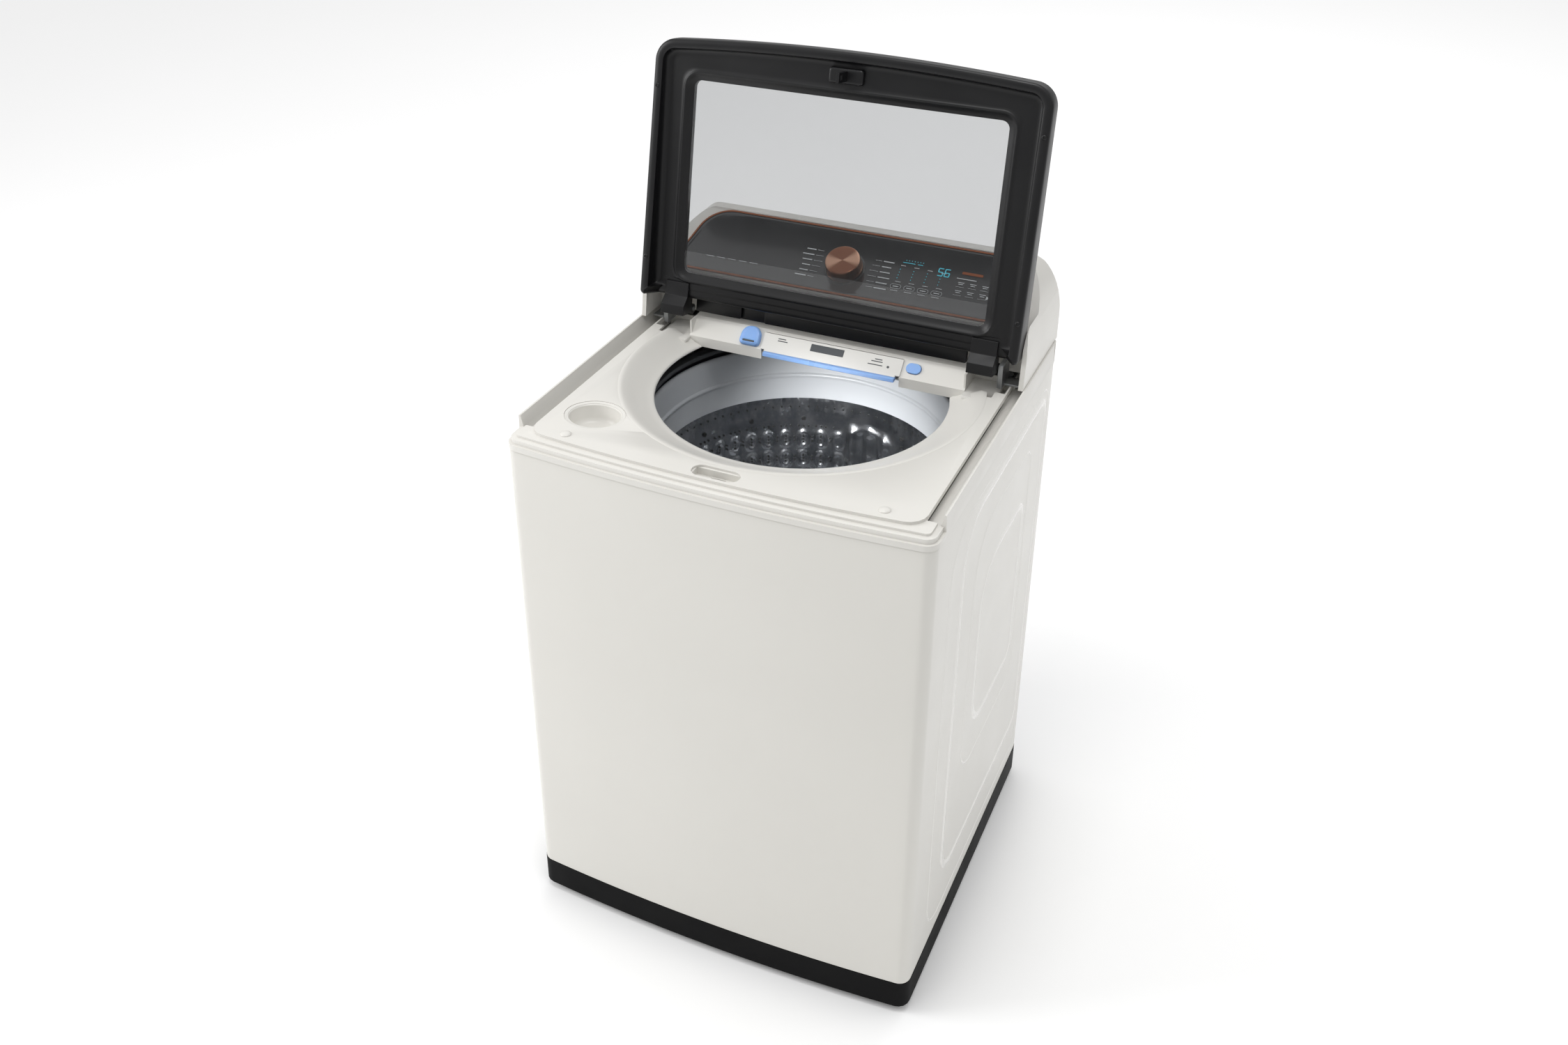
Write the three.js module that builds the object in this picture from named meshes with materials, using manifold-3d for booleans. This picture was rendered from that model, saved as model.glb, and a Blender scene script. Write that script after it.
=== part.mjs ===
// Top load washing machine, built as an assembly of separate pieces.
// Millimetres, +Z up, front towards -Y, right side towards +X, floor at z = 0.
// The rest state has the lid open, the drawer shut and the tub hanging at its loaded height.

import * as THREE from 'three';
import { mergeVertices } from 'three/addons/utils/BufferGeometryUtils.js';
import Module from 'manifold-3d';

const wasm = await Module();
wasm.setup();

// ---------------------------------------------------------------- driving dimensions

const GAP = 0.3;              // clearance between two pieces that touch

// cabinet
const WIDTH = 700;            // across the side panels
const DEPTH = 674;            // front bow to back flanges
const SEAM_Z = 926;           // top edge of the steel cabinet
const BOW = 16;               // how far the front panel bows out
const CORNER_R = 22;          // vertical corner radius
const SHEET = 1.5;            // steel sheet with its hems
const TRIM_BOTTOM = 14;       // underside of the base trim
const TRIM_H = 54;            // height of the base trim
const TRIM_WALL = 4;
const BACK_SET_IN = 15;       // back panel behind the rear flanges
const FLANGE = 30;            // rear flange of the cabinet wrap

// levelling feet
const FOOT_INSET = 60;        // from the cabinet's sides to a foot's axis
const FOOT_PAD_R = 22;
const FOOT_PAD_H = 10;
const FOOT_STEM_R = 6;
const FOOT_STEM_H = 44;
const FOOT_BORE_CLEAR = 0.4;

// top cover
const COVER_WALL = 3;
const PLATFORM_RISE = 27;     // lid platform above the seam
const STEP_1_RISE = 10;       // first front step above the seam
const STEP_1_INSET = 5;
const STEP_2_RISE = 22;       // second front step above the seam
const STEP_2_INSET = 14;
const PLATFORM_INSET = 24;    // platform edge behind the front face
const PLATFORM_SIDE_INSET = 30;
const GROOVE_DROP = 18;       // side groove floor below the platform
const RAIL_RISE = 37;         // side rail top above the seam
const RAIL_TOP_W = 3;
const RAIL_FRONT = 45;        // rail starts this far behind the front corner line
const DISH_W = 58;            // width of the dish round the tub opening
const DISH_DROP = 23;         // opening lip below the platform
const SLOT_W = 78;            // lid lock slot
const SLOT_H = 30;
const SLOT_FROM_FRONT = 45;   // slot centre behind the front bow
const BOLT_DROP = 25;         // underside of the lid lock's bolt below the platform
const BOLT_H = 6;
const BOLT_HALF = 3;
const WELL_HALF = 12;         // half the width of the well that takes the strike
const STRIKE_HALF = 8;        // half the width of the strike's blade, front to back

// tub, basket and drive
const TUB_MARGIN = 57;        // from half the cabinet's smaller side to the tub's radius
const TUB_BACK_CLEAR = 26;    // tub to the cabinet's back plane
const TUB_WALL = 5;
const TUB_FLOOR_Z = 235;
const TUB_TOP_DROP = 58;      // tub rim below the seam
const TUB_COVER_H = 34;
const BASKET_CLEAR = 11;      // basket outside to tub inside
const BASKET_WALL = 1.2;
const BASKET_FLOOR_Z = 275;
const RING_TOP_DROP = 41;     // balance ring top below the seam
const RING_H = 99;
const RING_STEP = 54;         // step in the ring's bore below its top
const RING_BORE_IN = 10;      // ring's top bore inside the basket's radius
const IMPELLER_R = 190;
const IMPELLER_Z = 288;
const IMPELLER_H = 40;
const IMPELLER_VANES = 6;
const SHAFT_R = 8;
const SPIN_SHAFT_R = 15;
const SHAFT_CLEAR = 0.6;
const ROTOR_R = 140;
const ROTOR_Z = 112;
const ROTOR_H = 50;
const STATOR_W = 36;          // stator ring, inside to outside
const ROD_R = 4;
const ROD_INSET = 67;         // suspension rods inside the cabinet's sides
const ROD_Y = 240;            // suspension rods from the tub axis, front to back
const ROD_BOTTOM_Z = 335;
const LUG_Z = 424;            // underside of the tub's suspension lugs
const LUG_H = 12;
const SPRING_R = 14;
const SPRING_WALL = 4;

// hinge axis and lid, in the closed state
const HINGE_FROM_BACK = 195;
const HINGE_RISE = 59;        // hinge axis above the seam
const LID_OPEN_DEG = 100.5;   // from closed to the rest state
const LID_SIDE_INSET = 13;
const LID_FRONT_INSET = 6;
const LID_REAR = 23;          // rear edge of the lid in front of the hinge axis
const LID_TOP_DROP = 1;       // top of the lid below the hinge axis
const LID_RIM_DROP = 35;      // underside of the front rim below the hinge axis
const LID_RIM_DROP_REAR = 48; // underside of the side rims at their rear ends
const LID_RIM_W = 15;
const LID_FRAME_DROP = 21;    // underside of the frame below the hinge axis
const LID_SKIN = 3;
const LID_CORNER_R = 38;
const GLASS_T = 4;
const GLASS_LAP = 12;
const WINDOW_HALF = 270;
const WINDOW_REAR = 67;       // rear edge of the window in front of the hinge axis
const WINDOW_FRONT = 397;
const WINDOW_R = 14;
const FLAP_HALF = 245;        // thin flap along the middle of the lid's rear edge
const FLAP_T = 6;
const ARM_X = 276;            // hinge arm centre
const ARM_HALF = 22;
const ARM_REACH = 39;         // arm's leg below the hinge axis
const ARM_WEB = 27;           // web under the lid, ahead of its rear edge
const PIN_R = 4;
const PIN_CLEAR = 0.3;
const BUMPER_X = 260;
const BUMPER_FROM_FRONT = 54;
const BUMPER_R = 9;
const BUMPER_H = 3.5;

// console
const CONSOLE_RISE = 190;     // top of the console above the seam
const CONSOLE_WALL = 3;
const FASCIA_TILT = 31;       // degrees from horizontal
const FASCIA_TOP_FROM_BACK = 40;
const FASCIA_LEN = 130;
const KNOB_DOWN = FASCIA_LEN * 0.6;         // knob centre below the fascia's top edge
const FASCIA_TOP_HALF = 284;
const FASCIA_BASE_HALF = 316;
const FASCIA_CORNER_R = 55;
const FASCIA_T = 3;
const COPPER_W = 3;
const CONSOLE_INSET = 4.5;    // console's ends inside the cabinet's sides
const WING_W = 8;             // wing beside the open lid
const WING_FRONT_FROM_BACK = 216;
const END_RX = 70;            // rounding of the console's upper ends
const END_RZ = 105;
const KNOB_X = -6;

const KNOB_R = 32;
const KNOB_H = 24;
const KNOB_SHAFT_R = 3;

// dispenser
const SLOPE_FOOT = 23;        // foot of the sloped wall in front of the hinge axis
const SLOPE_TOP = 4;          // top of the sloped wall behind the hinge axis
const SLOPE_FOOT_RISE = 19;   // foot of the sloped wall above the seam
const DRAWER_X = 12;
const DRAWER_HALF = 119;
const DRAWER_LEN = 175;
const DRAWER_TRAVEL = 120;
const DRAWER_WALL = 2.5;
const DRAWER_CLEAR = 2;
const GRIP_H = 7;
const NOZZLE_X = -137;
const NOZZLE_HALF = 19;
const NOZZLE_T = 9;
const BUTTON_X = 158;
const BUTTON_HALF = 13;
const BUTTON_R = 9;
const BUTTON_TRAVEL = 3;

// bleach cup
const CUP_X = -250;
const CUP_FROM_FRONT = 126;
const CUP_RX = 42;
const CUP_RY = 36;
const CUP_DEPTH = 34;
const CUP_WALL = 2;

// ---------------------------------------------------------------- worked-out places

const HALF = WIDTH / 2;
const FRONT = -DEPTH / 2;
const BACK = DEPTH / 2;
const CORNER_LINE = FRONT + BOW;
const TRIM_TOP = TRIM_BOTTOM + TRIM_H;
const COVER_Z = SEAM_Z + GAP;
const PLATFORM_Z = SEAM_Z + PLATFORM_RISE;
const RAIL_Z = SEAM_Z + RAIL_RISE;
const GROOVE_Z = PLATFORM_Z - GROOVE_DROP;
const BACK_PANEL_Y = BACK - BACK_SET_IN;

const TUB_R = Math.min(WIDTH, DEPTH) / 2 - TUB_MARGIN;
const TUB_Y = BACK - TUB_BACK_CLEAR - TUB_R;
const TUB_TOP = SEAM_Z - TUB_TOP_DROP;
const BASKET_R = TUB_R - TUB_WALL - BASKET_CLEAR;
const RING_TOP = SEAM_Z - RING_TOP_DROP;
const RING_BORE = BASKET_R - BASKET_WALL - RING_BORE_IN;
const OPENING_R = RING_BORE - 9;

const LIP_Z = PLATFORM_Z - DISH_DROP;

const HINGE_Y = BACK - HINGE_FROM_BACK;
const HINGE_Z = SEAM_Z + HINGE_RISE;
const LID_HALF = HALF - LID_SIDE_INSET;
const LID_TOP = HINGE_Z - LID_TOP_DROP;
const LID_RIM_Z = HINGE_Z - LID_RIM_DROP;
const LID_FRAME_Z = HINGE_Z - LID_FRAME_DROP;
const GLASS_Z = LID_FRAME_Z + LID_SKIN + 3;

const SLOPE_FOOT_Y = HINGE_Y - SLOPE_FOOT;
const SLOPE_FOOT_Z = SEAM_Z + SLOPE_FOOT_RISE;
const SLOPE_TOP_Y = HINGE_Y + SLOPE_TOP;
const SLOPE_TOP_Z = SLOPE_FOOT_Z + (SLOPE_TOP_Y - SLOPE_FOOT_Y);
const SLOPE_DEG = 45;

const CONSOLE_Z = RAIL_Z + GAP;
const CONSOLE_TOP = SEAM_Z + CONSOLE_RISE;
const FASCIA_TOP_Y = BACK - FASCIA_TOP_FROM_BACK;
const FASCIA_TOP_Z = CONSOLE_TOP - 4;
const FASCIA_COS = Math.cos(THREE.MathUtils.degToRad(FASCIA_TILT));
const FASCIA_SIN = Math.sin(THREE.MathUtils.degToRad(FASCIA_TILT));
const CONSOLE_FRONT_Y = FASCIA_TOP_Y - (FASCIA_LEN + 4) * FASCIA_COS;
const CONSOLE_FRONT_Z = FASCIA_TOP_Z - (FASCIA_LEN + 4) * FASCIA_SIN;
const WING_FRONT_Y = BACK - WING_FRONT_FROM_BACK;

const DRAWER_FLOOR_Z = SLOPE_FOOT_Z - 4;
const DRAWER_TOP_Z = SLOPE_TOP_Z - 5;
const DRAWER_FRONT_Y = SLOPE_TOP_Y + 6;
const HOUSING_BACK_Y = DRAWER_FRONT_Y + DRAWER_LEN - 18;
const HOUSING_WALL = 2.5;
const HOUSING_X0 = DRAWER_X - DRAWER_HALF - DRAWER_CLEAR;
const HOUSING_X1 = DRAWER_X + DRAWER_HALF + DRAWER_CLEAR;
const HOUSING_TOP = SLOPE_TOP_Z - COVER_WALL - 1 - GAP;

const LOCK_HALF = 16;          // latch housing, half its depth
const SLOT_Y = FRONT + SLOT_FROM_FRONT;
// The dish stops short of the latch housing under the deck.
const DISH_R = Math.min(OPENING_R + DISH_W, TUB_Y - SLOT_Y - LOCK_HALF - 5);
const CUP_Y = FRONT + CUP_FROM_FRONT;
const BOLT_Z0 = PLATFORM_Z - BOLT_DROP;
const BUMPER_Y = FRONT + BUMPER_FROM_FRONT;

const LUG_R = 13;
const RODS = [[-1, -1], [1, -1], [-1, 1], [1, 1]].map(([sx, sy]) => ({
  x: sx * (HALF - ROD_INSET),
  y: TUB_Y + sy * Math.min(ROD_Y, BACK_PANEL_Y - TUB_Y - LUG_R - 6),
}));

// ---------------------------------------------------------------- finishes

const finish = (color, roughness, metalness = 0) => ({ color, roughness, metalness });
const IVORY_PAINT = finish(0xe3e2dd, 0.35);
const IVORY_PLASTIC = finish(0xe4e3de, 0.38);
const BLACK_PLASTIC = finish(0x17181a, 0.5);
const GLOSS_BLACK = finish(0x101214, 0.12);
const COPPER = finish(0xa8694c, 0.3, 0.9);
const CLEAR_GLASS = finish(0xdfe3e6, 0.05);
const BLUE_PLASTIC = finish(0x8fb4e6, 0.4);
const CHARCOAL = finish(0x2d3033, 0.5);
const GREY_PLASTIC = finish(0xa9acb0, 0.42);
const STAINLESS = finish(0x8c8e92, 0.25, 1);
const STEEL = finish(0x9a9c9e, 0.4, 0.9);
const ALUMINIUM = finish(0xb4b6b8, 0.45, 0.9);
const WINDING = finish(0x9c5a34, 0.5, 0.6);
const RUBBER = finish(0x1c1c1d, 0.85);
const BOARD = finish(0x1f5d3a, 0.6);
const WHITE_PLASTIC = finish(0xeceae4, 0.4);

// ---------------------------------------------------------------- solids

const rad = THREE.MathUtils.degToRad;

// A closed three.js geometry as a manifold solid with its faces pointing out.
function solid(geometry) {
  const bare = geometry.clone();
  for (const name of Object.keys(bare.attributes)) if (name !== 'position') bare.deleteAttribute(name);
  const merged = mergeVertices(bare, 1e-4);
  const p = merged.attributes.position.array;
  const kept = [];
  let volume = 0;
  for (let i = 0; i < merged.index.count; i += 3) {
    const [a, b, c] = [0, 1, 2].map((k) => merged.index.getX(i + k));
    if (a === b || b === c || c === a) continue;
    kept.push(a, b, c);
    const [A, B, C] = [a, b, c].map((k) => new THREE.Vector3(p[3 * k], p[3 * k + 1], p[3 * k + 2]));
    volume += A.dot(B.cross(C));
  }
  if (volume < 0) {
    for (let i = 0; i < kept.length; i += 3) {
      [kept[i + 1], kept[i + 2]] = [kept[i + 2], kept[i + 1]];
    }
  }
  return new wasm.Manifold(new wasm.Mesh({
    numProp: 3, vertProperties: new Float32Array(p), triVerts: new Uint32Array(kept),
  }));
}

function geometryOf(body) {
  const mesh = body.getMesh();
  const geometry = new THREE.BufferGeometry();
  geometry.setAttribute('position', new THREE.BufferAttribute(new Float32Array(mesh.vertProperties), 3));
  geometry.setIndex(new THREE.BufferAttribute(new Uint32Array(mesh.triVerts), 1));
  geometry.computeVertexNormals();
  return geometry;
}

const join = (...bodies) => bodies.reduce((a, b) => a.add(b));
const cut = (body, ...tools) => tools.reduce((a, b) => a.subtract(b), body);

function box(x0, x1, y0, y1, z0, z1) {
  const geometry = new THREE.BoxGeometry(x1 - x0, y1 - y0, z1 - z0);
  geometry.translate((x0 + x1) / 2, (y0 + y1) / 2, (z0 + z1) / 2);
  return solid(geometry);
}

// Cylinder along Z from z0 to z1, about (x, y).
function rod(r, z0, z1, x = 0, y = 0, sides = 24, topR = r) {
  const geometry = new THREE.CylinderGeometry(topR, r, z1 - z0, sides);
  geometry.rotateX(Math.PI / 2);
  geometry.translate(x, y, (z0 + z1) / 2);
  return solid(geometry);
}

// Cylinder along X from x0 to x1, about (y, z).
function rodX(r, x0, x1, y, z, sides = 24) {
  const geometry = new THREE.CylinderGeometry(r, r, Math.abs(x1 - x0), sides);
  geometry.rotateZ(Math.PI / 2);
  geometry.translate((x0 + x1) / 2, y, z);
  return solid(geometry);
}

// Cylinder along Y from y0 to y1, about (x, z).
function rodY(r, y0, y1, x, z, sides = 24) {
  const geometry = new THREE.CylinderGeometry(r, r, y1 - y0, sides);
  geometry.translate(x, (y0 + y1) / 2, z);
  return solid(geometry);
}

// Solid turned about the vertical line through (x, y); the profile is [radius, z] points.
function turned(profile, x = 0, y = TUB_Y, segments = 36) {
  const geometry = new THREE.LatheGeometry(profile.map(([r, z]) => new THREE.Vector2(r, z)), segments);
  geometry.rotateX(Math.PI / 2);
  geometry.translate(x, y, 0);
  return solid(geometry);
}

const closed = (profile) => [...profile, profile[0]];

// Shape in the plan, pushed up from z0 to z1.
function plate(shape, z0, z1, curveSegments = 8) {
  const geometry = new THREE.ExtrudeGeometry(shape, { depth: z1 - z0, bevelEnabled: false, curveSegments });
  geometry.translate(0, 0, z0);
  return solid(geometry);
}

// Section given as [y, z] points, carried along X from x0 to x1.
function alongX(section, x0, x1) {
  const shape = new THREE.Shape(section.map(([y, z]) => new THREE.Vector2(y, z)));
  const geometry = new THREE.ExtrudeGeometry(shape, { depth: x1 - x0, bevelEnabled: false });
  geometry.rotateX(Math.PI / 2);
  geometry.rotateZ(Math.PI / 2);
  geometry.translate(x0, 0, 0);
  return solid(geometry);
}

// Section given as [x, z] points, carried along Y from y0 to y1.
function alongY(section, y0, y1) {
  const shape = new THREE.Shape(section.map(([x, z]) => new THREE.Vector2(x, z)));
  const geometry = new THREE.ExtrudeGeometry(shape, { depth: y1 - y0, bevelEnabled: false });
  geometry.rotateX(Math.PI / 2);
  geometry.translate(0, y1, 0);
  return solid(geometry);
}

// Plan outline with straight sides and back and a bowed front. Every inset shares its arc centres.
function bowedOutline({ half, back, front, bow, frontR, backR, steps = 4, bowSteps = 12 }, inset = 0) {
  const R = (half * half + bow * bow) / (2 * bow);
  const arcY = front + R;
  const points = [];
  const arc = (cx, cy, r, from, to, n) => {
    for (let i = 0; i <= n; i++) {
      const a = from + ((to - from) * i) / n;
      points.push(new THREE.Vector2(cx + r * Math.cos(a), cy + r * Math.sin(a)));
    }
  };
  const fr = Math.max(frontR - inset, 1);
  const br = Math.max(backR - inset, 1);
  const fx = half - inset - fr;
  const fy = arcY - Math.sqrt((R - inset - fr) ** 2 - fx * fx);
  const bx = half - inset - br;
  const by = back - inset - br;
  arc(bx, by, br, 0, Math.PI / 2, steps);
  arc(-bx, by, br, Math.PI / 2, Math.PI, steps);
  const left = Math.atan2(fy - arcY, -fx) + 2 * Math.PI;
  const right = Math.atan2(fy - arcY, fx) + 2 * Math.PI;
  arc(-fx, fy, fr, Math.PI, left, steps);
  for (let i = 1; i < bowSteps; i++) {
    const a = left + ((right - left) * i) / bowSteps;
    points.push(new THREE.Vector2((R - inset) * Math.cos(a), arcY + (R - inset) * Math.sin(a)));
  }
  arc(fx, fy, fr, right, 2 * Math.PI, steps);
  return new THREE.Shape(points);
}

// Polygon with each corner [x, y, radius] rounded by an arc.
function roundedShape(corners, steps = 6) {
  const points = [];
  corners.forEach(([x, y, r = 0], i) => {
    const here = new THREE.Vector2(x, y);
    const before = corners[(i + corners.length - 1) % corners.length];
    const after = corners[(i + 1) % corners.length];
    if (!r) return points.push(here);
    const u = new THREE.Vector2(before[0] - x, before[1] - y).normalize();
    const v = new THREE.Vector2(after[0] - x, after[1] - y).normalize();
    const half = Math.acos(THREE.MathUtils.clamp(u.dot(v), -1, 1)) / 2;
    const centre = u.clone().add(v).normalize().multiplyScalar(r / Math.sin(half)).add(here);
    const start = u.clone().multiplyScalar(r / Math.tan(half)).add(here).sub(centre);
    const end = v.clone().multiplyScalar(r / Math.tan(half)).add(here).sub(centre);
    const a0 = Math.atan2(start.y, start.x);
    let sweep = Math.atan2(end.y, end.x) - a0;
    if (sweep > Math.PI) sweep -= 2 * Math.PI;
    if (sweep < -Math.PI) sweep += 2 * Math.PI;
    for (let k = 0; k <= steps; k++) {
      const a = a0 + (sweep * k) / steps;
      points.push(new THREE.Vector2(centre.x + r * Math.cos(a), centre.y + r * Math.sin(a)));
    }
    return points.length;
  });
  return new THREE.Shape(points);
}

const rectangle = (x0, x1, y0, y1, r = 0) => roundedShape([[x0, y0, r], [x1, y0, r], [x1, y1, r],
  [x0, y1, r]]);

// Half-round ended slot in the plan, long axis along X.
const stadium = (cx, cy, halfW, r) => rectangle(cx - halfW, cx + halfW, cy - r, cy + r, r - 0.01);

// ---------------------------------------------------------------- assembly

const group = new THREE.Group();

function add(name, body, look, parent = group) {
  const material = new THREE.MeshStandardMaterial(look);
  if (look === CLEAR_GLASS) Object.assign(material, { transparent: true, opacity: 0.25 });
  const mesh = new THREE.Mesh(geometryOf(body), material);
  mesh.name = name;
  parent.add(mesh);
  return mesh;
}

const sides = [['left', -1], ['right', 1]];

// ---------------------------------------------------------------- cabinet shell

const CABINET = { half: HALF, back: BACK, front: FRONT, bow: BOW, frontR: CORNER_R, backR: CORNER_R };

function cabinetWrap() {
  const outer = plate(bowedOutline(CABINET), TRIM_TOP + GAP, SEAM_Z);
  const inner = plate(bowedOutline(CABINET, SHEET), TRIM_TOP - 1, SEAM_Z + 1);
  const rearOpening = box(-HALF + FLANGE, HALF - FLANGE, BACK - CORNER_R, BACK + 1, TRIM_TOP - 1, SEAM_Z + 1);
  return cut(outer, inner, rearOpening);
}

function backPanel() {
  const inside = plate(bowedOutline(CABINET, SHEET + GAP), TRIM_TOP + GAP, SEAM_Z);
  return inside.intersect(box(-HALF, HALF, BACK_PANEL_Y - SHEET, BACK_PANEL_Y, TRIM_TOP, SEAM_Z + 1));
}

const footPlaces = [
  ['front_left', -HALF + FOOT_INSET, CORNER_LINE + FOOT_INSET],
  ['front_right', HALF - FOOT_INSET, CORNER_LINE + FOOT_INSET],
  ['rear_left', -HALF + FOOT_INSET, BACK - FOOT_INSET],
  ['rear_right', HALF - FOOT_INSET, BACK - FOOT_INSET],
];

function baseFrame() {
  const outer = plate(bowedOutline(CABINET, 0.5), TRIM_BOTTOM, TRIM_TOP);
  const inner = plate(bowedOutline(CABINET, 0.5 + TRIM_WALL), TRIM_BOTTOM - 1, TRIM_TOP + 1);
  let frame = cut(outer, inner);
  for (const [, x, y] of footPlaces) {
    const reach = FOOT_INSET + 20;
    const plateX = x < 0 ? [-HALF + TRIM_WALL, -HALF + reach] : [HALF - reach, HALF - TRIM_WALL];
    const plateY = y < 0 ? [CORNER_LINE - 2, CORNER_LINE + reach] : [BACK - reach, BACK - TRIM_WALL];
    const gusset = box(...plateX, ...plateY, TRIM_BOTTOM, TRIM_BOTTOM + 10);
    frame = frame.add(gusset.intersect(outer));
  }
  const bores = footPlaces.map(([, x, y]) =>
    rod(FOOT_STEM_R + FOOT_BORE_CLEAR, TRIM_BOTTOM - 1, TRIM_TOP + 1, x, y, 12));
  return cut(frame, ...bores);
}

function levelingFoot(x, y) {
  const pad = rod(FOOT_PAD_R, 0, FOOT_PAD_H * 0.6, x, y, 16);
  const top = rod(FOOT_PAD_R, FOOT_PAD_H * 0.6, FOOT_PAD_H, x, y, 16, FOOT_PAD_R * 0.55);
  const stem = rod(FOOT_STEM_R, FOOT_PAD_H - 0.5, FOOT_PAD_H + FOOT_STEM_H, x, y, 12);
  return join(pad, top, stem);
}

add('cabinet_wrap', cabinetWrap(), IVORY_PAINT);
add('back_panel', backPanel(), STEEL);
add('base_frame', baseFrame(), BLACK_PLASTIC);
for (const [name, x, y] of footPlaces) add(`leveling_foot_${name}`, levelingFoot(x, y), RUBBER);

// ---------------------------------------------------------------- top cover

const PLATFORM = {
  half: HALF - PLATFORM_SIDE_INSET, back: BACK - COVER_WALL, front: FRONT + PLATFORM_INSET,
  bow: BOW, frontR: 30, backR: 6,
};

// Section of the right side rail: outer wall, rail top, cove and groove floor.
function railSection() {
  const outer = HALF - 1.5;
  const inner = HALF - PLATFORM_SIDE_INSET - 1;
  return [
    [HALF - GAP, COVER_Z], [outer, RAIL_Z], [outer - RAIL_TOP_W, RAIL_Z],
    [outer - 8, GROOVE_Z + 7], [outer - 11, GROOVE_Z], [inner - 2, GROOVE_Z],
    [inner - 2, GROOVE_Z - COVER_WALL], [HALF - 4, GROOVE_Z - COVER_WALL], [HALF - 4, COVER_Z],
  ];
}

// Section of the sloped wall and rear deck, [y, z].
function slopeSection() {
  const t = COVER_WALL;
  return [
    [SLOPE_FOOT_Y, SLOPE_FOOT_Z], [SLOPE_TOP_Y, SLOPE_TOP_Z], [CONSOLE_FRONT_Y - 4, SLOPE_TOP_Z],
    [CONSOLE_FRONT_Y - 4, SLOPE_TOP_Z - t], [SLOPE_TOP_Y + t * 0.5, SLOPE_TOP_Z - t],
    [SLOPE_FOOT_Y + t, SLOPE_FOOT_Z - t * 0.5], [SLOPE_FOOT_Y + t, LIP_Z - t], [SLOPE_FOOT_Y, LIP_Z - t],
  ];
}

// Box between two distances from the middle, on the side s.
function sideBox(s, near, far, ...rest) {
  return box(Math.min(s * near, s * far), Math.max(s * near, s * far), ...rest);
}

// Deck parts behind the sloped wall stop this far in front of the console.
const DECK_BACK_Y = CONSOLE_FRONT_Y - 4;
const DISH_STEPS = 72;
const POCKET_X0 = ARM_X - ARM_HALF - 3;
const POCKET_X1 = ARM_X + ARM_HALF + 3;

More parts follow.
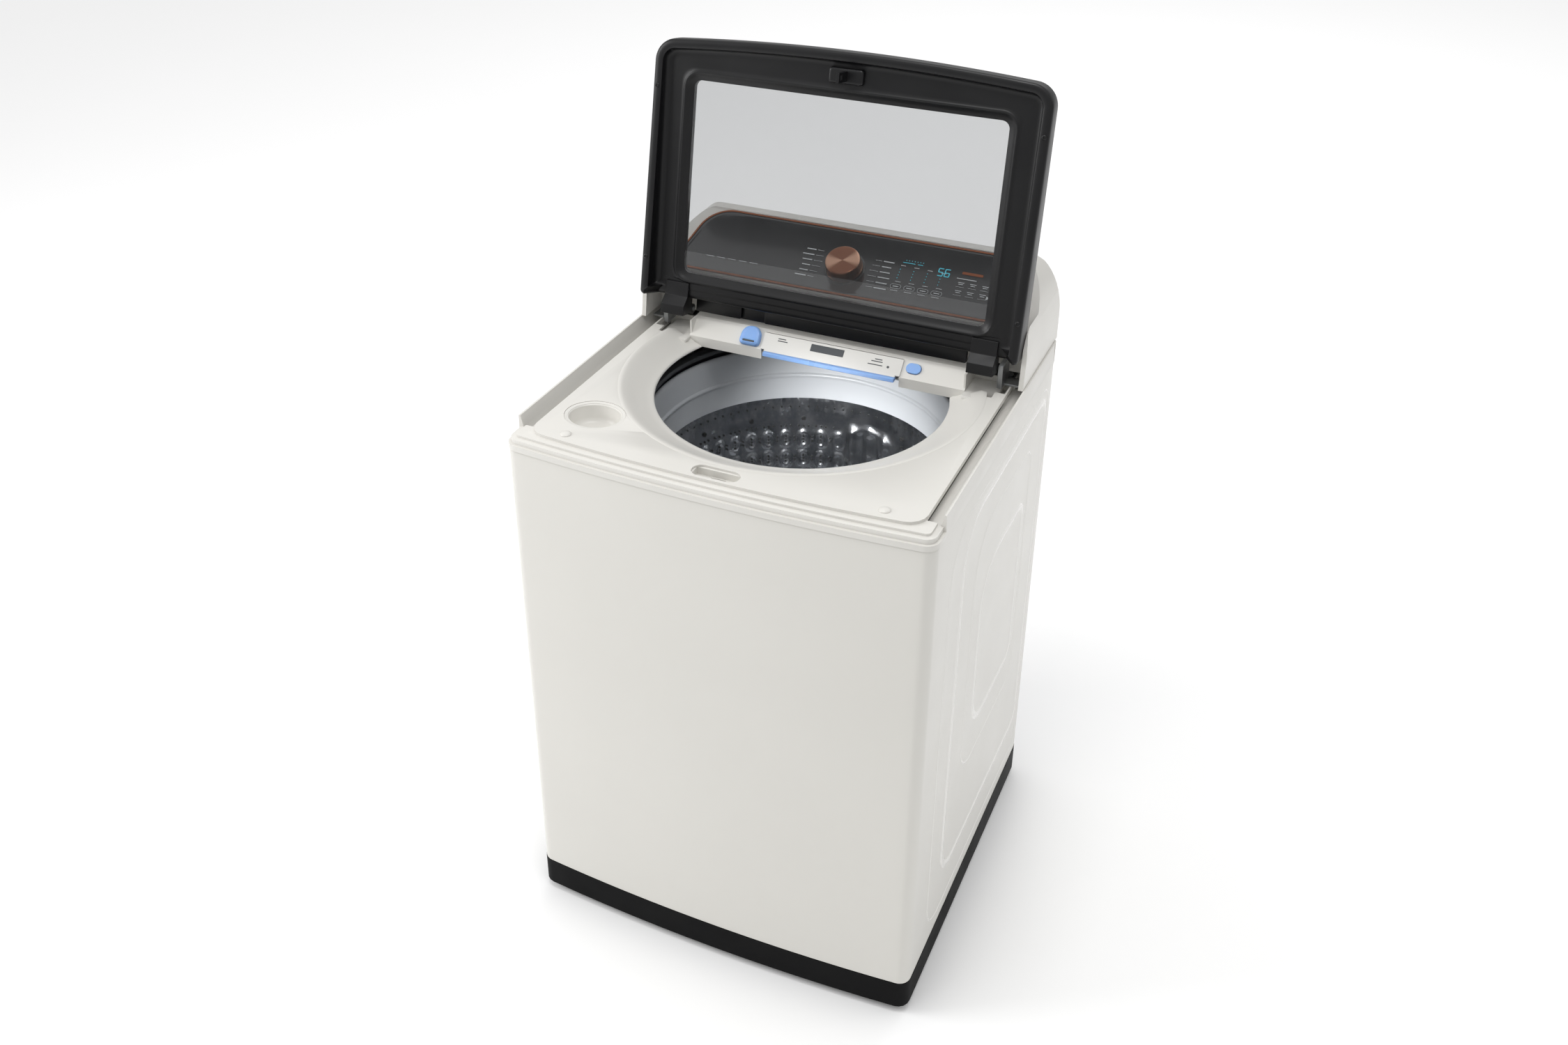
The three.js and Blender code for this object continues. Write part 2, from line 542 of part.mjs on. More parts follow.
function topCover() {
  const level = (inset, z0, z1) => plate(bowedOutline(CABINET, inset), z0, z1);
  const w = COVER_WALL;
  const step1 = SEAM_Z + STEP_1_RISE;
  const step2 = SEAM_Z + STEP_2_RISE;
  const steps = join(
    level(GAP, COVER_Z, step1),
    level(STEP_1_INSET, step1 - 0.01, step2 - 4),
    level(STEP_2_INSET, step2 - 4.01, step2),
  );
  const sideCut = (s) => sideBox(s, HALF - PLATFORM_SIDE_INSET, HALF + 1,
    CORNER_LINE + RAIL_FRONT, BACK + 1, COVER_Z - 1, step2 + 1);
  const platform = plate(bowedOutline(PLATFORM), COVER_Z, PLATFORM_Z);
  let body = join(cut(steps, sideCut(-1), sideCut(1)), platform);

  const hollow = join(
    level(w + STEP_1_INSET, COVER_Z - 1, step1 - w + 0.01),
    level(w + STEP_2_INSET, step1 - w, step2 - w),
    plate(bowedOutline(PLATFORM, w), step2 - w - 0.01, PLATFORM_Z - w),
  );
  body = cut(body, hollow);

  const rails = sides.map(([, s]) => {
    const section = railSection().map(([x, z]) => [s * x, z]);
    return alongY(section, CORNER_LINE + RAIL_FRONT, BACK - CORNER_R);
  });
  const wall = cut(level(GAP, COVER_Z, RAIL_Z), level(4, COVER_Z - 1, RAIL_Z + 1),
    box(-HALF - 1, HALF + 1, FRONT - 1, BACK - CORNER_R - 1, COVER_Z - 2, RAIL_Z + 2));
  body = join(body, ...rails, wall);

  const dishShell = turned([[0, LIP_Z - w - 1], [OPENING_R + w, LIP_Z - w - 1],
    [OPENING_R + w + 6, LIP_Z - w],
    [DISH_R - 6, PLATFORM_Z - w - 3], [DISH_R, PLATFORM_Z - w], [DISH_R, PLATFORM_Z - 0.5],
      [0, PLATFORM_Z - 0.5]], 0, TUB_Y, DISH_STEPS);
  const dishCut = turned([[0, LIP_Z - 20], [OPENING_R, LIP_Z - 20], [OPENING_R, LIP_Z - 3],
    [OPENING_R + 4, LIP_Z],
    [OPENING_R + DISH_W * 0.55, LIP_Z + DISH_DROP * 0.5], [DISH_R - 8, PLATFORM_Z - 2],
    [DISH_R - 2, PLATFORM_Z + 1], [0, PLATFORM_Z + 1]], 0, TUB_Y, DISH_STEPS);
  const frontPart = box(-HALF, HALF, FRONT, SLOPE_FOOT_Y + 1, LIP_Z - 30, PLATFORM_Z + 5);
  const deckHole = box(-HALF + FLANGE + 3, HALF - FLANGE - 3, SLOPE_FOOT_Y + 1, BACK_PANEL_Y - 6,
    COVER_Z - 2, PLATFORM_Z + 1);
  body = cut(join(body, dishShell.intersect(frontPart)), dishCut.intersect(frontPart), deckHole);

  const slopeHalf = POCKET_X0 - 0.5;
  const slope = alongX(slopeSection(), -slopeHalf, slopeHalf);
  const cheeks = sides.map(([, s]) => sideBox(s, slopeHalf - w, slopeHalf,
    SLOPE_FOOT_Y + w, DECK_BACK_Y, LIP_Z - w, SLOPE_TOP_Z));
  const deckEdge = join(
    box(-slopeHalf, slopeHalf, DECK_BACK_Y - w, DECK_BACK_Y, LIP_Z - w, SLOPE_TOP_Z),
    ...sides.map(([, s]) => sideBox(s, slopeHalf - w, HALF - FLANGE,
      DECK_BACK_Y - w, DECK_BACK_Y, LIP_Z - w, PLATFORM_Z)),
    ...sides.map(([, s]) => sideBox(s, slopeHalf - w, HALF - FLANGE,
      SLOPE_FOOT_Y - 1, DECK_BACK_Y, LIP_Z - w, LIP_Z)),
  );
  body = join(body, slope, ...cheeks, deckEdge);

  const pockets = sides.map(([, s]) => sideBox(s, POCKET_X0, POCKET_X1,
    HINGE_Y - ARM_REACH - 4, CONSOLE_FRONT_Y - 8, HINGE_Z - ARM_REACH - 4, HINGE_Z + 40));
  const drawerBay = box(DRAWER_X - DRAWER_HALF - DRAWER_CLEAR - 4, DRAWER_X + DRAWER_HALF + DRAWER_CLEAR + 4,
    SLOPE_FOOT_Y - 5, CONSOLE_FRONT_Y + 5, SLOPE_FOOT_Z - 60, SLOPE_TOP_Z - w - 1);
  const slot = plate(stadium(0, SLOT_Y, SLOT_W / 2, SLOT_H / 2), PLATFORM_Z - 20, PLATFORM_Z + 5);
  const cupHole = cupSolid(CUP_RX + CUP_WALL + GAP, CUP_RY + CUP_WALL + GAP, LIP_Z - 60, PLATFORM_Z + 5);
  const cupSeat = cupSolid(CUP_RX + 8 + GAP, CUP_RY + 8 + GAP, PLATFORM_Z - 1.5, PLATFORM_Z + 5);
  const buttonHole = onSlope(plate(stadium(BUTTON_X, 0, BUTTON_HALF + GAP + 0.3, BUTTON_R + GAP + 0.3),
    -20, 20));
  body = cut(body, ...pockets, drawerBay, slot, cupHole, cupSeat, buttonHole);
  return body;
}

function cupSolid(rx, ry, z0, z1, taper = 1) {
  const geometry = new THREE.CylinderGeometry(1, taper, z1 - z0, 32);
  geometry.rotateX(Math.PI / 2);
  geometry.scale(rx, ry, 1);
  geometry.translate(CUP_X, CUP_Y, (z0 + z1) / 2);
  return solid(geometry);
}

// Moves a body built about the origin onto the middle of the sloped wall, its Z out of the slope.
function onSlope(body) {
  const middleY = (SLOPE_FOOT_Y + SLOPE_TOP_Y) / 2;
  const middleZ = (SLOPE_FOOT_Z + SLOPE_TOP_Z) / 2;
  return body.rotate([SLOPE_DEG, 0, 0]).translate([0, middleY, middleZ]);
}

function bleachCup() {
  const top = PLATFORM_Z - 1.5 + GAP;
  const outer = join(
    cupSolid(CUP_RX + CUP_WALL, CUP_RY + CUP_WALL, top - CUP_DEPTH, top + 0.5, 0.86),
    cupSolid(CUP_RX + 8, CUP_RY + 8, top, top + 1.2),
  );
  return cut(outer, cupSolid(CUP_RX, CUP_RY, top - CUP_DEPTH + CUP_WALL, top + 2, 0.86));
}

function lidLockHousing() {
  const top = PLATFORM_Z - COVER_WALL - GAP;
  const body = box(-60, 52, SLOT_Y - LOCK_HALF, SLOT_Y + LOCK_HALF, top - 34, top);
  const tray = box(-36, 36, SLOT_Y - 11, SLOT_Y + 11, top - 12, top + 1);
  const well = box(-WELL_HALF, WELL_HALF, SLOT_Y - 10, SLOT_Y + 10, top - 30, top - 11);
  const boltWay = box(-61, -WELL_HALF + 1, SLOT_Y - BOLT_HALF - GAP, SLOT_Y + BOLT_HALF + GAP,
    BOLT_Z0 - GAP, BOLT_Z0 + BOLT_H + GAP);
  return cut(body, tray, well, boltWay);
}

function lidLockBolt() {
  return box(-WELL_HALF - 45, -WELL_HALF - 0.5, SLOT_Y - BOLT_HALF, SLOT_Y + BOLT_HALF, BOLT_Z0,
    BOLT_Z0 + BOLT_H);
}

add('top_cover', topCover(), IVORY_PLASTIC);
add('bleach_cup', bleachCup(), IVORY_PLASTIC);
add('lid_lock_housing', lidLockHousing(), CHARCOAL);
add('lid_lock_bolt', lidLockBolt(), STEEL);
for (const [name, s] of sides) {
  const profile = [[0, PLATFORM_Z + GAP], [BUMPER_R, PLATFORM_Z + GAP], [BUMPER_R * 0.85,
    PLATFORM_Z + BUMPER_H * 0.6],
    [BUMPER_R * 0.4, PLATFORM_Z + BUMPER_H], [0, PLATFORM_Z + BUMPER_H]];
  add(`lid_bumper_${name}`, turned(profile, s * BUMPER_X, BUMPER_Y, 20), IVORY_PLASTIC);
}

// ---------------------------------------------------------------- dispenser

function dispenserHousing() {
  const t = HOUSING_WALL;
  const [x0, x1] = [HOUSING_X0, HOUSING_X1];
  const z0 = DRAWER_FLOOR_Z - DRAWER_CLEAR;
  const z1 = HOUSING_TOP - t;
  const front = SLOPE_FOOT_Y + 4;
  const outer = alongX([[front, z0 - t], [front, z0 + 2], [SLOPE_TOP_Y + 4, z1 + t],
    [HOUSING_BACK_Y + t, z1 + t],
    [HOUSING_BACK_Y + t, z0 - t]], x0 - t, x1 + t);
  return cut(outer, box(x0, x1, front - 10, HOUSING_BACK_Y, z0, z1));
}

// Drawer front, a slab lying on the sloped wall.
function drawerFront() {
  const low = SLOPE_FOOT_Z;
  const t = 4;
  const section = [[SLOPE_FOOT_Y - t, low], [SLOPE_FOOT_Y - t + (SLOPE_TOP_Z - 7 - low), SLOPE_TOP_Z - 7],
    [SLOPE_FOOT_Y + (SLOPE_TOP_Z - 7 - low), SLOPE_TOP_Z - 7], [SLOPE_FOOT_Y, low]];
  return alongX(section, DRAWER_X - DRAWER_HALF, DRAWER_X + DRAWER_HALF);
}

function drawerGrip() {
  const top = SLOPE_FOOT_Z - GAP;
  const section = [[SLOPE_FOOT_Y - 9, top], [SLOPE_FOOT_Y - 10, top - GRIP_H],
    [SLOPE_FOOT_Y + 1, top - GRIP_H],
    [SLOPE_FOOT_Y + 1, top]];
  return alongX(section, DRAWER_X - DRAWER_HALF, DRAWER_X + DRAWER_HALF);
}

function drawerTray() {
  const w = DRAWER_WALL;
  const y0 = SLOPE_FOOT_Y + 5 + GAP;
  const z0 = DRAWER_FLOOR_Z;
  const z1 = HOUSING_TOP - HOUSING_WALL - DRAWER_CLEAR;
  const y1 = HOUSING_BACK_Y - DRAWER_CLEAR;
  const x0 = DRAWER_X - DRAWER_HALF + 1;
  const x1 = DRAWER_X + DRAWER_HALF - 1;
  const shift = z1 - z0;
  const outer = alongX([[y0, z0], [y0 + shift, z1], [y1, z1], [y1, z0]], x0, x1);
  const bay = (a, b) => alongX([[y0 + w + 3, z0 + w], [y0 + w + 3 + shift, z1 + w], [y1 - w, z1 + w],
    [y1 - w, z0 + w]], a, b);
  const middle = DRAWER_X - 20;
  return cut(outer, bay(x0 + w, middle - w / 2), bay(middle + w / 2, x1 - w));
}

// Spout that stands on the sloped wall beside the drawer.
function waterjetNozzle() {
  const outline = roundedShape([[-NOZZLE_HALF, -18, 10], [NOZZLE_HALF, -18, 10], [NOZZLE_HALF * 0.75, 18, 12],
    [-NOZZLE_HALF * 0.75, 18, 12]], 4);
  const body = plate(outline, GAP, NOZZLE_T);
  const outlet = box(-NOZZLE_HALF + 6, NOZZLE_HALF - 6, -24, -10, NOZZLE_T - 6, NOZZLE_T - 2);
  return onSlope(cut(body, outlet).translate([NOZZLE_X, 0, 0]));
}

function waterjetButton() {
  return onSlope(plate(stadium(BUTTON_X, 0, BUTTON_HALF, BUTTON_R), -8, 3.4));
}

add('dispenser_housing', dispenserHousing(), IVORY_PLASTIC);
add('drawer_front', drawerFront(), WHITE_PLASTIC);
add('drawer_grip', drawerGrip(), BLUE_PLASTIC);
add('drawer_tray', drawerTray(), WHITE_PLASTIC);
add('waterjet_nozzle', waterjetNozzle(), BLUE_PLASTIC);
add('waterjet_button', waterjetButton(), BLUE_PLASTIC);

// ---------------------------------------------------------------- console

// Moves a body built in the fascia's own plane (Y up the slope, Z out of it) to its place.
const onFascia = (body) => body.rotate([FASCIA_TILT, 0, 0]).translate([0, FASCIA_TOP_Y, FASCIA_TOP_Z]);

const fasciaOutline = (grow = 0) => roundedShape([
  [-FASCIA_BASE_HALF - grow, -FASCIA_LEN - grow, 12], [FASCIA_BASE_HALF + grow, -FASCIA_LEN - grow, 12],
  [FASCIA_TOP_HALF + grow, grow, FASCIA_CORNER_R + grow], [-FASCIA_TOP_HALF - grow, grow,
    FASCIA_CORNER_R + grow],
], 10);

// Front view of the console: straight ends with elliptical upper corners.
function consoleFrontView(inset) {
  const half = HALF - CONSOLE_INSET - inset;
  const top = CONSOLE_TOP - inset;
  const points = [[-half, CONSOLE_Z - 1], [half, CONSOLE_Z - 1]];
  const n = 12;
  for (let i = 0; i <= n; i++) {
    const a = (Math.PI / 2) * (i / n);
    points.push([half - END_RX + END_RX * Math.cos(a), top - END_RZ + END_RZ * Math.sin(a)]);
  }
  for (let i = 0; i <= n; i++) {
    const a = (Math.PI / 2) * (1 + i / n);
    points.push([-half + END_RX + END_RX * Math.cos(a), top - END_RZ + END_RZ * Math.sin(a)]);
  }
  return alongY(points, FRONT, BACK + 1);
}

// Side view of the console's middle, [y, z]: front wall, fascia plane, rounded top, back.
function consoleSection(inset) {
  const under = FASCIA_T + GAP + inset;
  const dy = under * FASCIA_SIN;
  const dz = under * FASCIA_COS;
  const front = CONSOLE_FRONT_Y + inset;
  const at = (y) => FASCIA_TOP_Z - dz + (y - (FASCIA_TOP_Y + dy)) * (FASCIA_SIN / FASCIA_COS);
  return [
    [front, CONSOLE_Z - (inset ? 1 : 0)], [front, at(front)], [FASCIA_TOP_Y + 5 + inset,
      at(FASCIA_TOP_Y + 5 + inset)],
    [FASCIA_TOP_Y + 6 + inset, CONSOLE_TOP - inset - 1], [FASCIA_TOP_Y + 9 + inset, CONSOLE_TOP - inset],
    [BACK - 14, CONSOLE_TOP - inset], [BACK - inset - 5, CONSOLE_TOP - 5 - inset],
      [BACK - inset, CONSOLE_TOP - 16],
    [BACK - inset, CONSOLE_Z - (inset ? 1 : 0)],
  ];
}

// Side view of the wings that stand beside the open lid.
function wingSection(inset) {
  const front = WING_FRONT_Y + inset;
  return [
    [front, CONSOLE_Z - (inset ? 1 : 0)], [front + 10, SEAM_Z + 104], [front + 24, SEAM_Z + 126 - inset],
    [FASCIA_TOP_Y + 2, CONSOLE_TOP - 2 - inset], [BACK - 14, CONSOLE_TOP - inset],
    [BACK - inset - 5, CONSOLE_TOP - 5 - inset], [BACK - inset, CONSOLE_TOP - 16],
      [BACK - inset, CONSOLE_Z - (inset ? 1 : 0)],
  ];
}

function consoleHousing() {
  const w = CONSOLE_WALL;
  const inner = HALF - CONSOLE_INSET - WING_W;
  const middle = alongX(consoleSection(0), -inner - 1, inner + 1);
  const wings = sides.map(([, s]) =>
    alongX(wingSection(0), Math.min(s * inner, s * (HALF + 2)), Math.max(s * inner, s * (HALF + 2))));
  let body = join(middle, ...wings).intersect(consoleFrontView(0));
  const innerView = consoleFrontView(w);
  const hollow = join(
    alongX(consoleSection(w), -inner + w, inner - w),
    ...sides.map(([, s]) => alongX(consoleSection(w), Math.min(s * (inner - w - 1), s * (HALF + 2)),
      Math.max(s * (inner - w - 1), s * (HALF + 2)))),
  ).intersect(innerView);
  const boardWindow = onFascia(box(-280, 280, -105, -18, -FASCIA_T - GAP - 12, 2));
  const valveWindow = box(-170, -50, BACK - 10, BACK + 1, CONSOLE_Z + 12, CONSOLE_Z + 52);
  const housingWindow = box(HOUSING_X0 - 3, HOUSING_X1 + 3, CONSOLE_FRONT_Y - 1, CONSOLE_FRONT_Y + w + 1,
    CONSOLE_Z - 1, HOUSING_TOP + 2);
  body = cut(body, hollow, boardWindow, valveWindow, housingWindow);
  return body;
}

function consoleFascia() {
  const sheet = plate(fasciaOutline(), -FASCIA_T, 0);
  const hole = rod(KNOB_SHAFT_R + 1, -FASCIA_T - 1, 1, KNOB_X, -KNOB_DOWN, 16);
  return onFascia(cut(sheet, hole));
}

function consoleTrim() {
  const outer = plate(fasciaOutline(GAP + COPPER_W), -FASCIA_T, 1);
  return onFascia(cut(outer, plate(fasciaOutline(GAP), -FASCIA_T - 1, 2)));
}

function controlBoard() {
  const board = box(-250, 250, -100, -24, -FASCIA_T - 12, -FASCIA_T - 10);
  const display = box(95, 210, -78, -40, -FASCIA_T - 10.01, -FASCIA_T - 2);
  const encoder = box(KNOB_X - 9, KNOB_X + 9, -KNOB_DOWN - 9, -KNOB_DOWN + 9, -FASCIA_T - 10.01,
    -FASCIA_T - 6);
  const chip = box(-200, -170, -80, -50, -FASCIA_T - 10.01, -FASCIA_T - 7);
  return onFascia(join(board, display, encoder, chip));
}

function cycleKnob() {
  const z0 = 2;
  const profile = [[0, z0], [KNOB_R, z0], [KNOB_R, z0 + 3], [KNOB_R - 1.5, KNOB_H - 1.2],
    [KNOB_R - 3, KNOB_H], [0, KNOB_H - 0.6]];
  const shaft = rod(KNOB_SHAFT_R, -FASCIA_T - 5, z0 + 1, 0, 0, 16);
  return onFascia(join(turned(profile, 0, 0, 32), shaft).translate([KNOB_X, -KNOB_DOWN, 0]));
}

function knobRing() {
  const r = KNOB_R;
  const profile = closed([[r - 6, 0.3], [r + 4, 0.3], [r + 3, 1.6], [r - 6, 1.6]]);
  return onFascia(turned(profile, 0, 0, 32).translate([KNOB_X, -KNOB_DOWN, 0]));
}

function waterInletValve() {
  const z = CONSOLE_Z + 32;
  let body = box(-160, -60, BACK - 60, BACK - 14, z - 16, z + 16);
  for (const x of [-138, -82]) {
    body = join(body, rodY(13, BACK - 15, BACK - 1, x, z, 20), rod(13, z + 15, z + 40, x, BACK - 38, 16));
  }
  for (const x of [-138, -82]) body = cut(body, rodY(9, BACK - 30, BACK + 1, x, z, 16));
  return body;
}

add('console_housing', consoleHousing(), IVORY_PLASTIC);
add('console_fascia', consoleFascia(), GLOSS_BLACK);
add('console_trim', consoleTrim(), COPPER);
add('control_board', controlBoard(), BOARD);
add('cycle_knob', cycleKnob(), COPPER);
add('knob_ring', knobRing(), GLOSS_BLACK);
add('water_inlet_valve', waterInletValve(), WHITE_PLASTIC);

// ---------------------------------------------------------------- lid, modelled closed and turned open

const lid = new THREE.Group();
lid.position.set(0, HINGE_Y, HINGE_Z);
lid.rotation.x = -rad(LID_OPEN_DEG);
group.add(lid);

const LID = {
  half: LID_HALF, back: HINGE_Y - LID_REAR, front: FRONT + LID_FRONT_INSET,
  bow: BOW * (LID_HALF / HALF) ** 2, frontR: LID_CORNER_R, backR: 8, steps: 7, bowSteps: 14,
};

const addToLid = (name, body, look) => add(name, body.translate([0, -HINGE_Y, -HINGE_Z]), look, lid);

const lidWindow = (grow, z0, z1) => plate(rectangle(-WINDOW_HALF - grow, WINDOW_HALF + grow,
  HINGE_Y - WINDOW_FRONT - grow, HINGE_Y - WINDOW_REAR + grow, WINDOW_R + grow), z0, z1);


// Room in the frames for the hinge arms.
const armRoom = (z0, z1) => sides.map(([, s]) => sideBox(s, ARM_X - ARM_HALF - 1, ARM_X + ARM_HALF + 1,
  HINGE_Y - LID_REAR - ARM_WEB - 1, HINGE_Y, z0, z1));

// Rim round the underside; along the sides it gets deeper towards the hinge.
function lidRim() {
  const low = HINGE_Z - LID_RIM_DROP_REAR;
  const ring = cut(plate(bowedOutline(LID), low, LID_FRAME_Z + 0.5), plate(bowedOutline(LID,
    LID_RIM_W), low - 1, LID_FRAME_Z + 1));
  const frontY = FRONT + LID_FRONT_INSET + LID_CORNER_R;
  const rearY = HINGE_Y - LID_REAR;
  const wedge = alongX([[FRONT, LID_RIM_Z], [frontY, LID_RIM_Z], [rearY, low], [rearY, LID_FRAME_Z + 0.5],
    [FRONT, LID_FRAME_Z + 0.5]], -HALF, HALF);
  const overDeck = box(-LID_HALF + LID_RIM_W, LID_HALF - LID_RIM_W, rearY - LID_RIM_W - 1, HINGE_Y,
    low - 1, PLATFORM_Z + 2);
  const openRear = box(-FLAP_HALF, FLAP_HALF, rearY - LID_RIM_W - 2, HINGE_Y, low - 1, LID_FRAME_Z);
  return cut(ring.intersect(wedge), overDeck, openRear);
}

function lidFrameInner() {
  const split = LID_FRAME_Z + LID_SKIN;
  const frame = join(plate(bowedOutline(LID), LID_FRAME_Z, split), lidRim());
  const seat = lidWindow(GLASS_LAP + GAP, GLASS_Z - GAP, split + 5);
  return cut(frame, lidWindow(0, LID_RIM_Z - 1, split + 5), ...armRoom(LID_FRAME_Z - 40, split + 1), seat);
}

// Thin strip that carries the lid's top back over the drawer, with room for the spout.
function lidFlap() {
  const flap = box(-FLAP_HALF, FLAP_HALF, HINGE_Y - LID_REAR - 4, HINGE_Y, LID_TOP - FLAP_T, LID_TOP);
  const spoutRoom = box(NOZZLE_X - NOZZLE_HALF - 3, NOZZLE_X + NOZZLE_HALF + 3, HINGE_Y - LID_REAR + 4,
    HINGE_Y + 1,
    LID_TOP - FLAP_T - 1, LID_TOP + 1);
  return cut(flap, spoutRoom);
}

function lidFrameOuter() {
  const z0 = LID_FRAME_Z + LID_SKIN + GAP;
  const shell = cut(plate(bowedOutline(LID), z0, LID_TOP), plate(bowedOutline(LID, LID_SKIN),
    z0 - 1, LID_TOP - LID_SKIN));
  const lip = cut(lidWindow(LID_SKIN, GLASS_Z + GLASS_T + GAP, LID_TOP), lidWindow(0, z0 - 1, LID_TOP + 1));
  return cut(join(cut(shell, lidWindow(0, z0 - 1, LID_TOP + 1)), lip, lidFlap()),
    ...armRoom(z0 - 1, LID_TOP - LID_SKIN));
}

function lidStrike() {
  const y = SLOT_Y;
  const base = box(-28, 28, y - 10, y + 10, LID_FRAME_Z - 5, LID_FRAME_Z - GAP);
  const blade = box(-2.5, 2.5, y - STRIKE_HALF, y + STRIKE_HALF, BOLT_Z0 - 7, LID_FRAME_Z - 4.5);
  const eye = box(-4, 4, y - BOLT_HALF - 1, y + BOLT_HALF + 1, BOLT_Z0 - 1, BOLT_Z0 + BOLT_H + 1);
  return cut(join(base, blade), eye);
}

// Hinge arm: boss round the pin, leg under the lid and a flat web that carries the lid.
function hingeArm(s) {
  const x0 = Math.min(s * (ARM_X - ARM_HALF), s * (ARM_X + ARM_HALF));
  const x1 = Math.max(s * (ARM_X - ARM_HALF), s * (ARM_X + ARM_HALF));
  const boss = rodX(9, x0, x1, HINGE_Y, HINGE_Z, 24);
  const section = [[HINGE_Y + 5, HINGE_Z], [HINGE_Y + 5, HINGE_Z - ARM_REACH],
    [HINGE_Y - 12, HINGE_Z - ARM_REACH],
    [HINGE_Y - 26, HINGE_Z - 26], [HINGE_Y - LID_REAR - ARM_WEB, HINGE_Z - 24],
    [HINGE_Y - LID_REAR - ARM_WEB, HINGE_Z - 5], [HINGE_Y - 10, HINGE_Z - 5], [HINGE_Y, HINGE_Z - 1]];
  const bore = rodX(PIN_R + PIN_CLEAR, x0 - 1, x1 + 1, HINGE_Y, HINGE_Z, 24);
  return cut(join(boss, alongX(section, x0, x1)), bore);
}

// Bracket on the cabinet that holds a hinge pin from the outer end.
function hingeBracket(s) {
  const inner = ARM_X + ARM_HALF + 1.5;
  const outer = HALF - CONSOLE_INSET - WING_W - GAP - 1;
  const span = (a, b) => [Math.min(s * a, s * b), Math.max(s * a, s * b)];
  const upright = box(...span(inner, inner + 8), HINGE_Y - 9, CONSOLE_FRONT_Y - 8 - GAP,
    PLATFORM_Z + GAP, HINGE_Z + 9);
  const flange = box(...span(inner, outer), HINGE_Y + 6, CONSOLE_FRONT_Y - 8 - GAP, PLATFORM_Z + GAP,
    PLATFORM_Z + 4);
  const pin = rodX(PIN_R, ...span(ARM_X - ARM_HALF - 2, inner + 4), HINGE_Y, HINGE_Z, 20);
  return join(upright, flange, pin);
}

addToLid('lid_frame_inner', lidFrameInner(), BLACK_PLASTIC);
addToLid('lid_frame_outer', lidFrameOuter(), BLACK_PLASTIC);
addToLid('lid_glass', lidWindow(GLASS_LAP, GLASS_Z, GLASS_Z + GLASS_T), CLEAR_GLASS);
addToLid('lid_strike', lidStrike(), BLACK_PLASTIC);
for (const [name, s] of sides) {
  addToLid(`hinge_arm_${name}`, hingeArm(s), BLACK_PLASTIC);
  add(`hinge_bracket_${name}`, hingeBracket(s), STEEL);
}

// ---------------------------------------------------------------- tub and basket

function outerTub() {
  const w = TUB_WALL;
  const shell = turned(closed([[48, TUB_FLOOR_Z], [TUB_R - 20, TUB_FLOOR_Z], [TUB_R, TUB_FLOOR_Z + 20],
    [TUB_R, TUB_TOP],
    [TUB_R - w, TUB_TOP], [TUB_R - w, TUB_FLOOR_Z + 22], [TUB_R - 22, TUB_FLOOR_Z + w],
      [48, TUB_FLOOR_Z + w]]));
  const lugs = RODS.map(({ x, y }) => {
    const inward = new THREE.Vector2(-x, TUB_Y - y).normalize();
    const reach = Math.hypot(x, y - TUB_Y) - TUB_R + 2;
    const across = new THREE.Vector2(-inward.y, inward.x).multiplyScalar(LUG_R);
    const foot = new THREE.Vector2(x, y).addScaledVector(inward, reach);
    const corners = [[x + across.x, y + across.y], [foot.x + across.x * 2, foot.y + across.y * 2],
      [foot.x - across.x * 2, foot.y - across.y * 2], [x - across.x, y - across.y]];
    const arm = plate(new THREE.Shape(corners.map(([a, b]) => new THREE.Vector2(a, b))),
      LUG_Z, LUG_Z + LUG_H);
    const eye = rod(LUG_R, LUG_Z, LUG_Z + LUG_H, x, y, 20);
    return cut(join(arm, eye), rod(ROD_R + 1.5, LUG_Z - 1, LUG_Z + LUG_H + 1, x, y, 20));
  });
  const bore = turned([[0, LUG_Z - 5], [TUB_R - w, LUG_Z - 5], [TUB_R - w, LUG_Z + LUG_H + 5],
    [0, LUG_Z + LUG_H + 5]]);
  return cut(join(shell, ...lugs), bore);
}

function tubCover() {
  const w = TUB_WALL;
  const z0 = TUB_TOP + GAP;
  const top = z0 + TUB_COVER_H;
  const bore = RING_BORE + 2;
  return turned(closed([[TUB_R - w, z0], [TUB_R, z0], [TUB_R, top - 8], [TUB_R - 8, top], [bore, top],
    [bore, top - 8],
    [bore + 3, top - 8], [bore + 3, top - 4], [TUB_R - 10, top - 4], [TUB_R - w, top - 10]]));
}

function basket() {
  const w = BASKET_WALL;
  const top = RING_TOP - RING_H + 20;
  return turned(closed([[62, BASKET_FLOOR_Z], [BASKET_R - 24, BASKET_FLOOR_Z],
    [BASKET_R, BASKET_FLOOR_Z + 24],
    [BASKET_R, top], [BASKET_R - w, top], [BASKET_R - w, BASKET_FLOOR_Z + 25],
      [BASKET_R - 25, BASKET_FLOOR_Z + w],
    [62, BASKET_FLOOR_Z + w]]));
}

function balanceRing() {
  const seatTop = RING_TOP - RING_H + 20;
  const inside = BASKET_R - BASKET_WALL - GAP;
  const bore = RING_BORE;
  return turned(closed([[bore - 7, RING_TOP - RING_H], [inside, RING_TOP - RING_H], [inside, seatTop + GAP],
    [BASKET_R + 3, seatTop + GAP], [BASKET_R + 3, RING_TOP - 8], [BASKET_R - 4, RING_TOP],
      [bore + 3, RING_TOP],
    [bore, RING_TOP - 4], [bore - 3, RING_TOP - RING_STEP + 3], [bore - 5, RING_TOP - RING_STEP - 2]]));
}

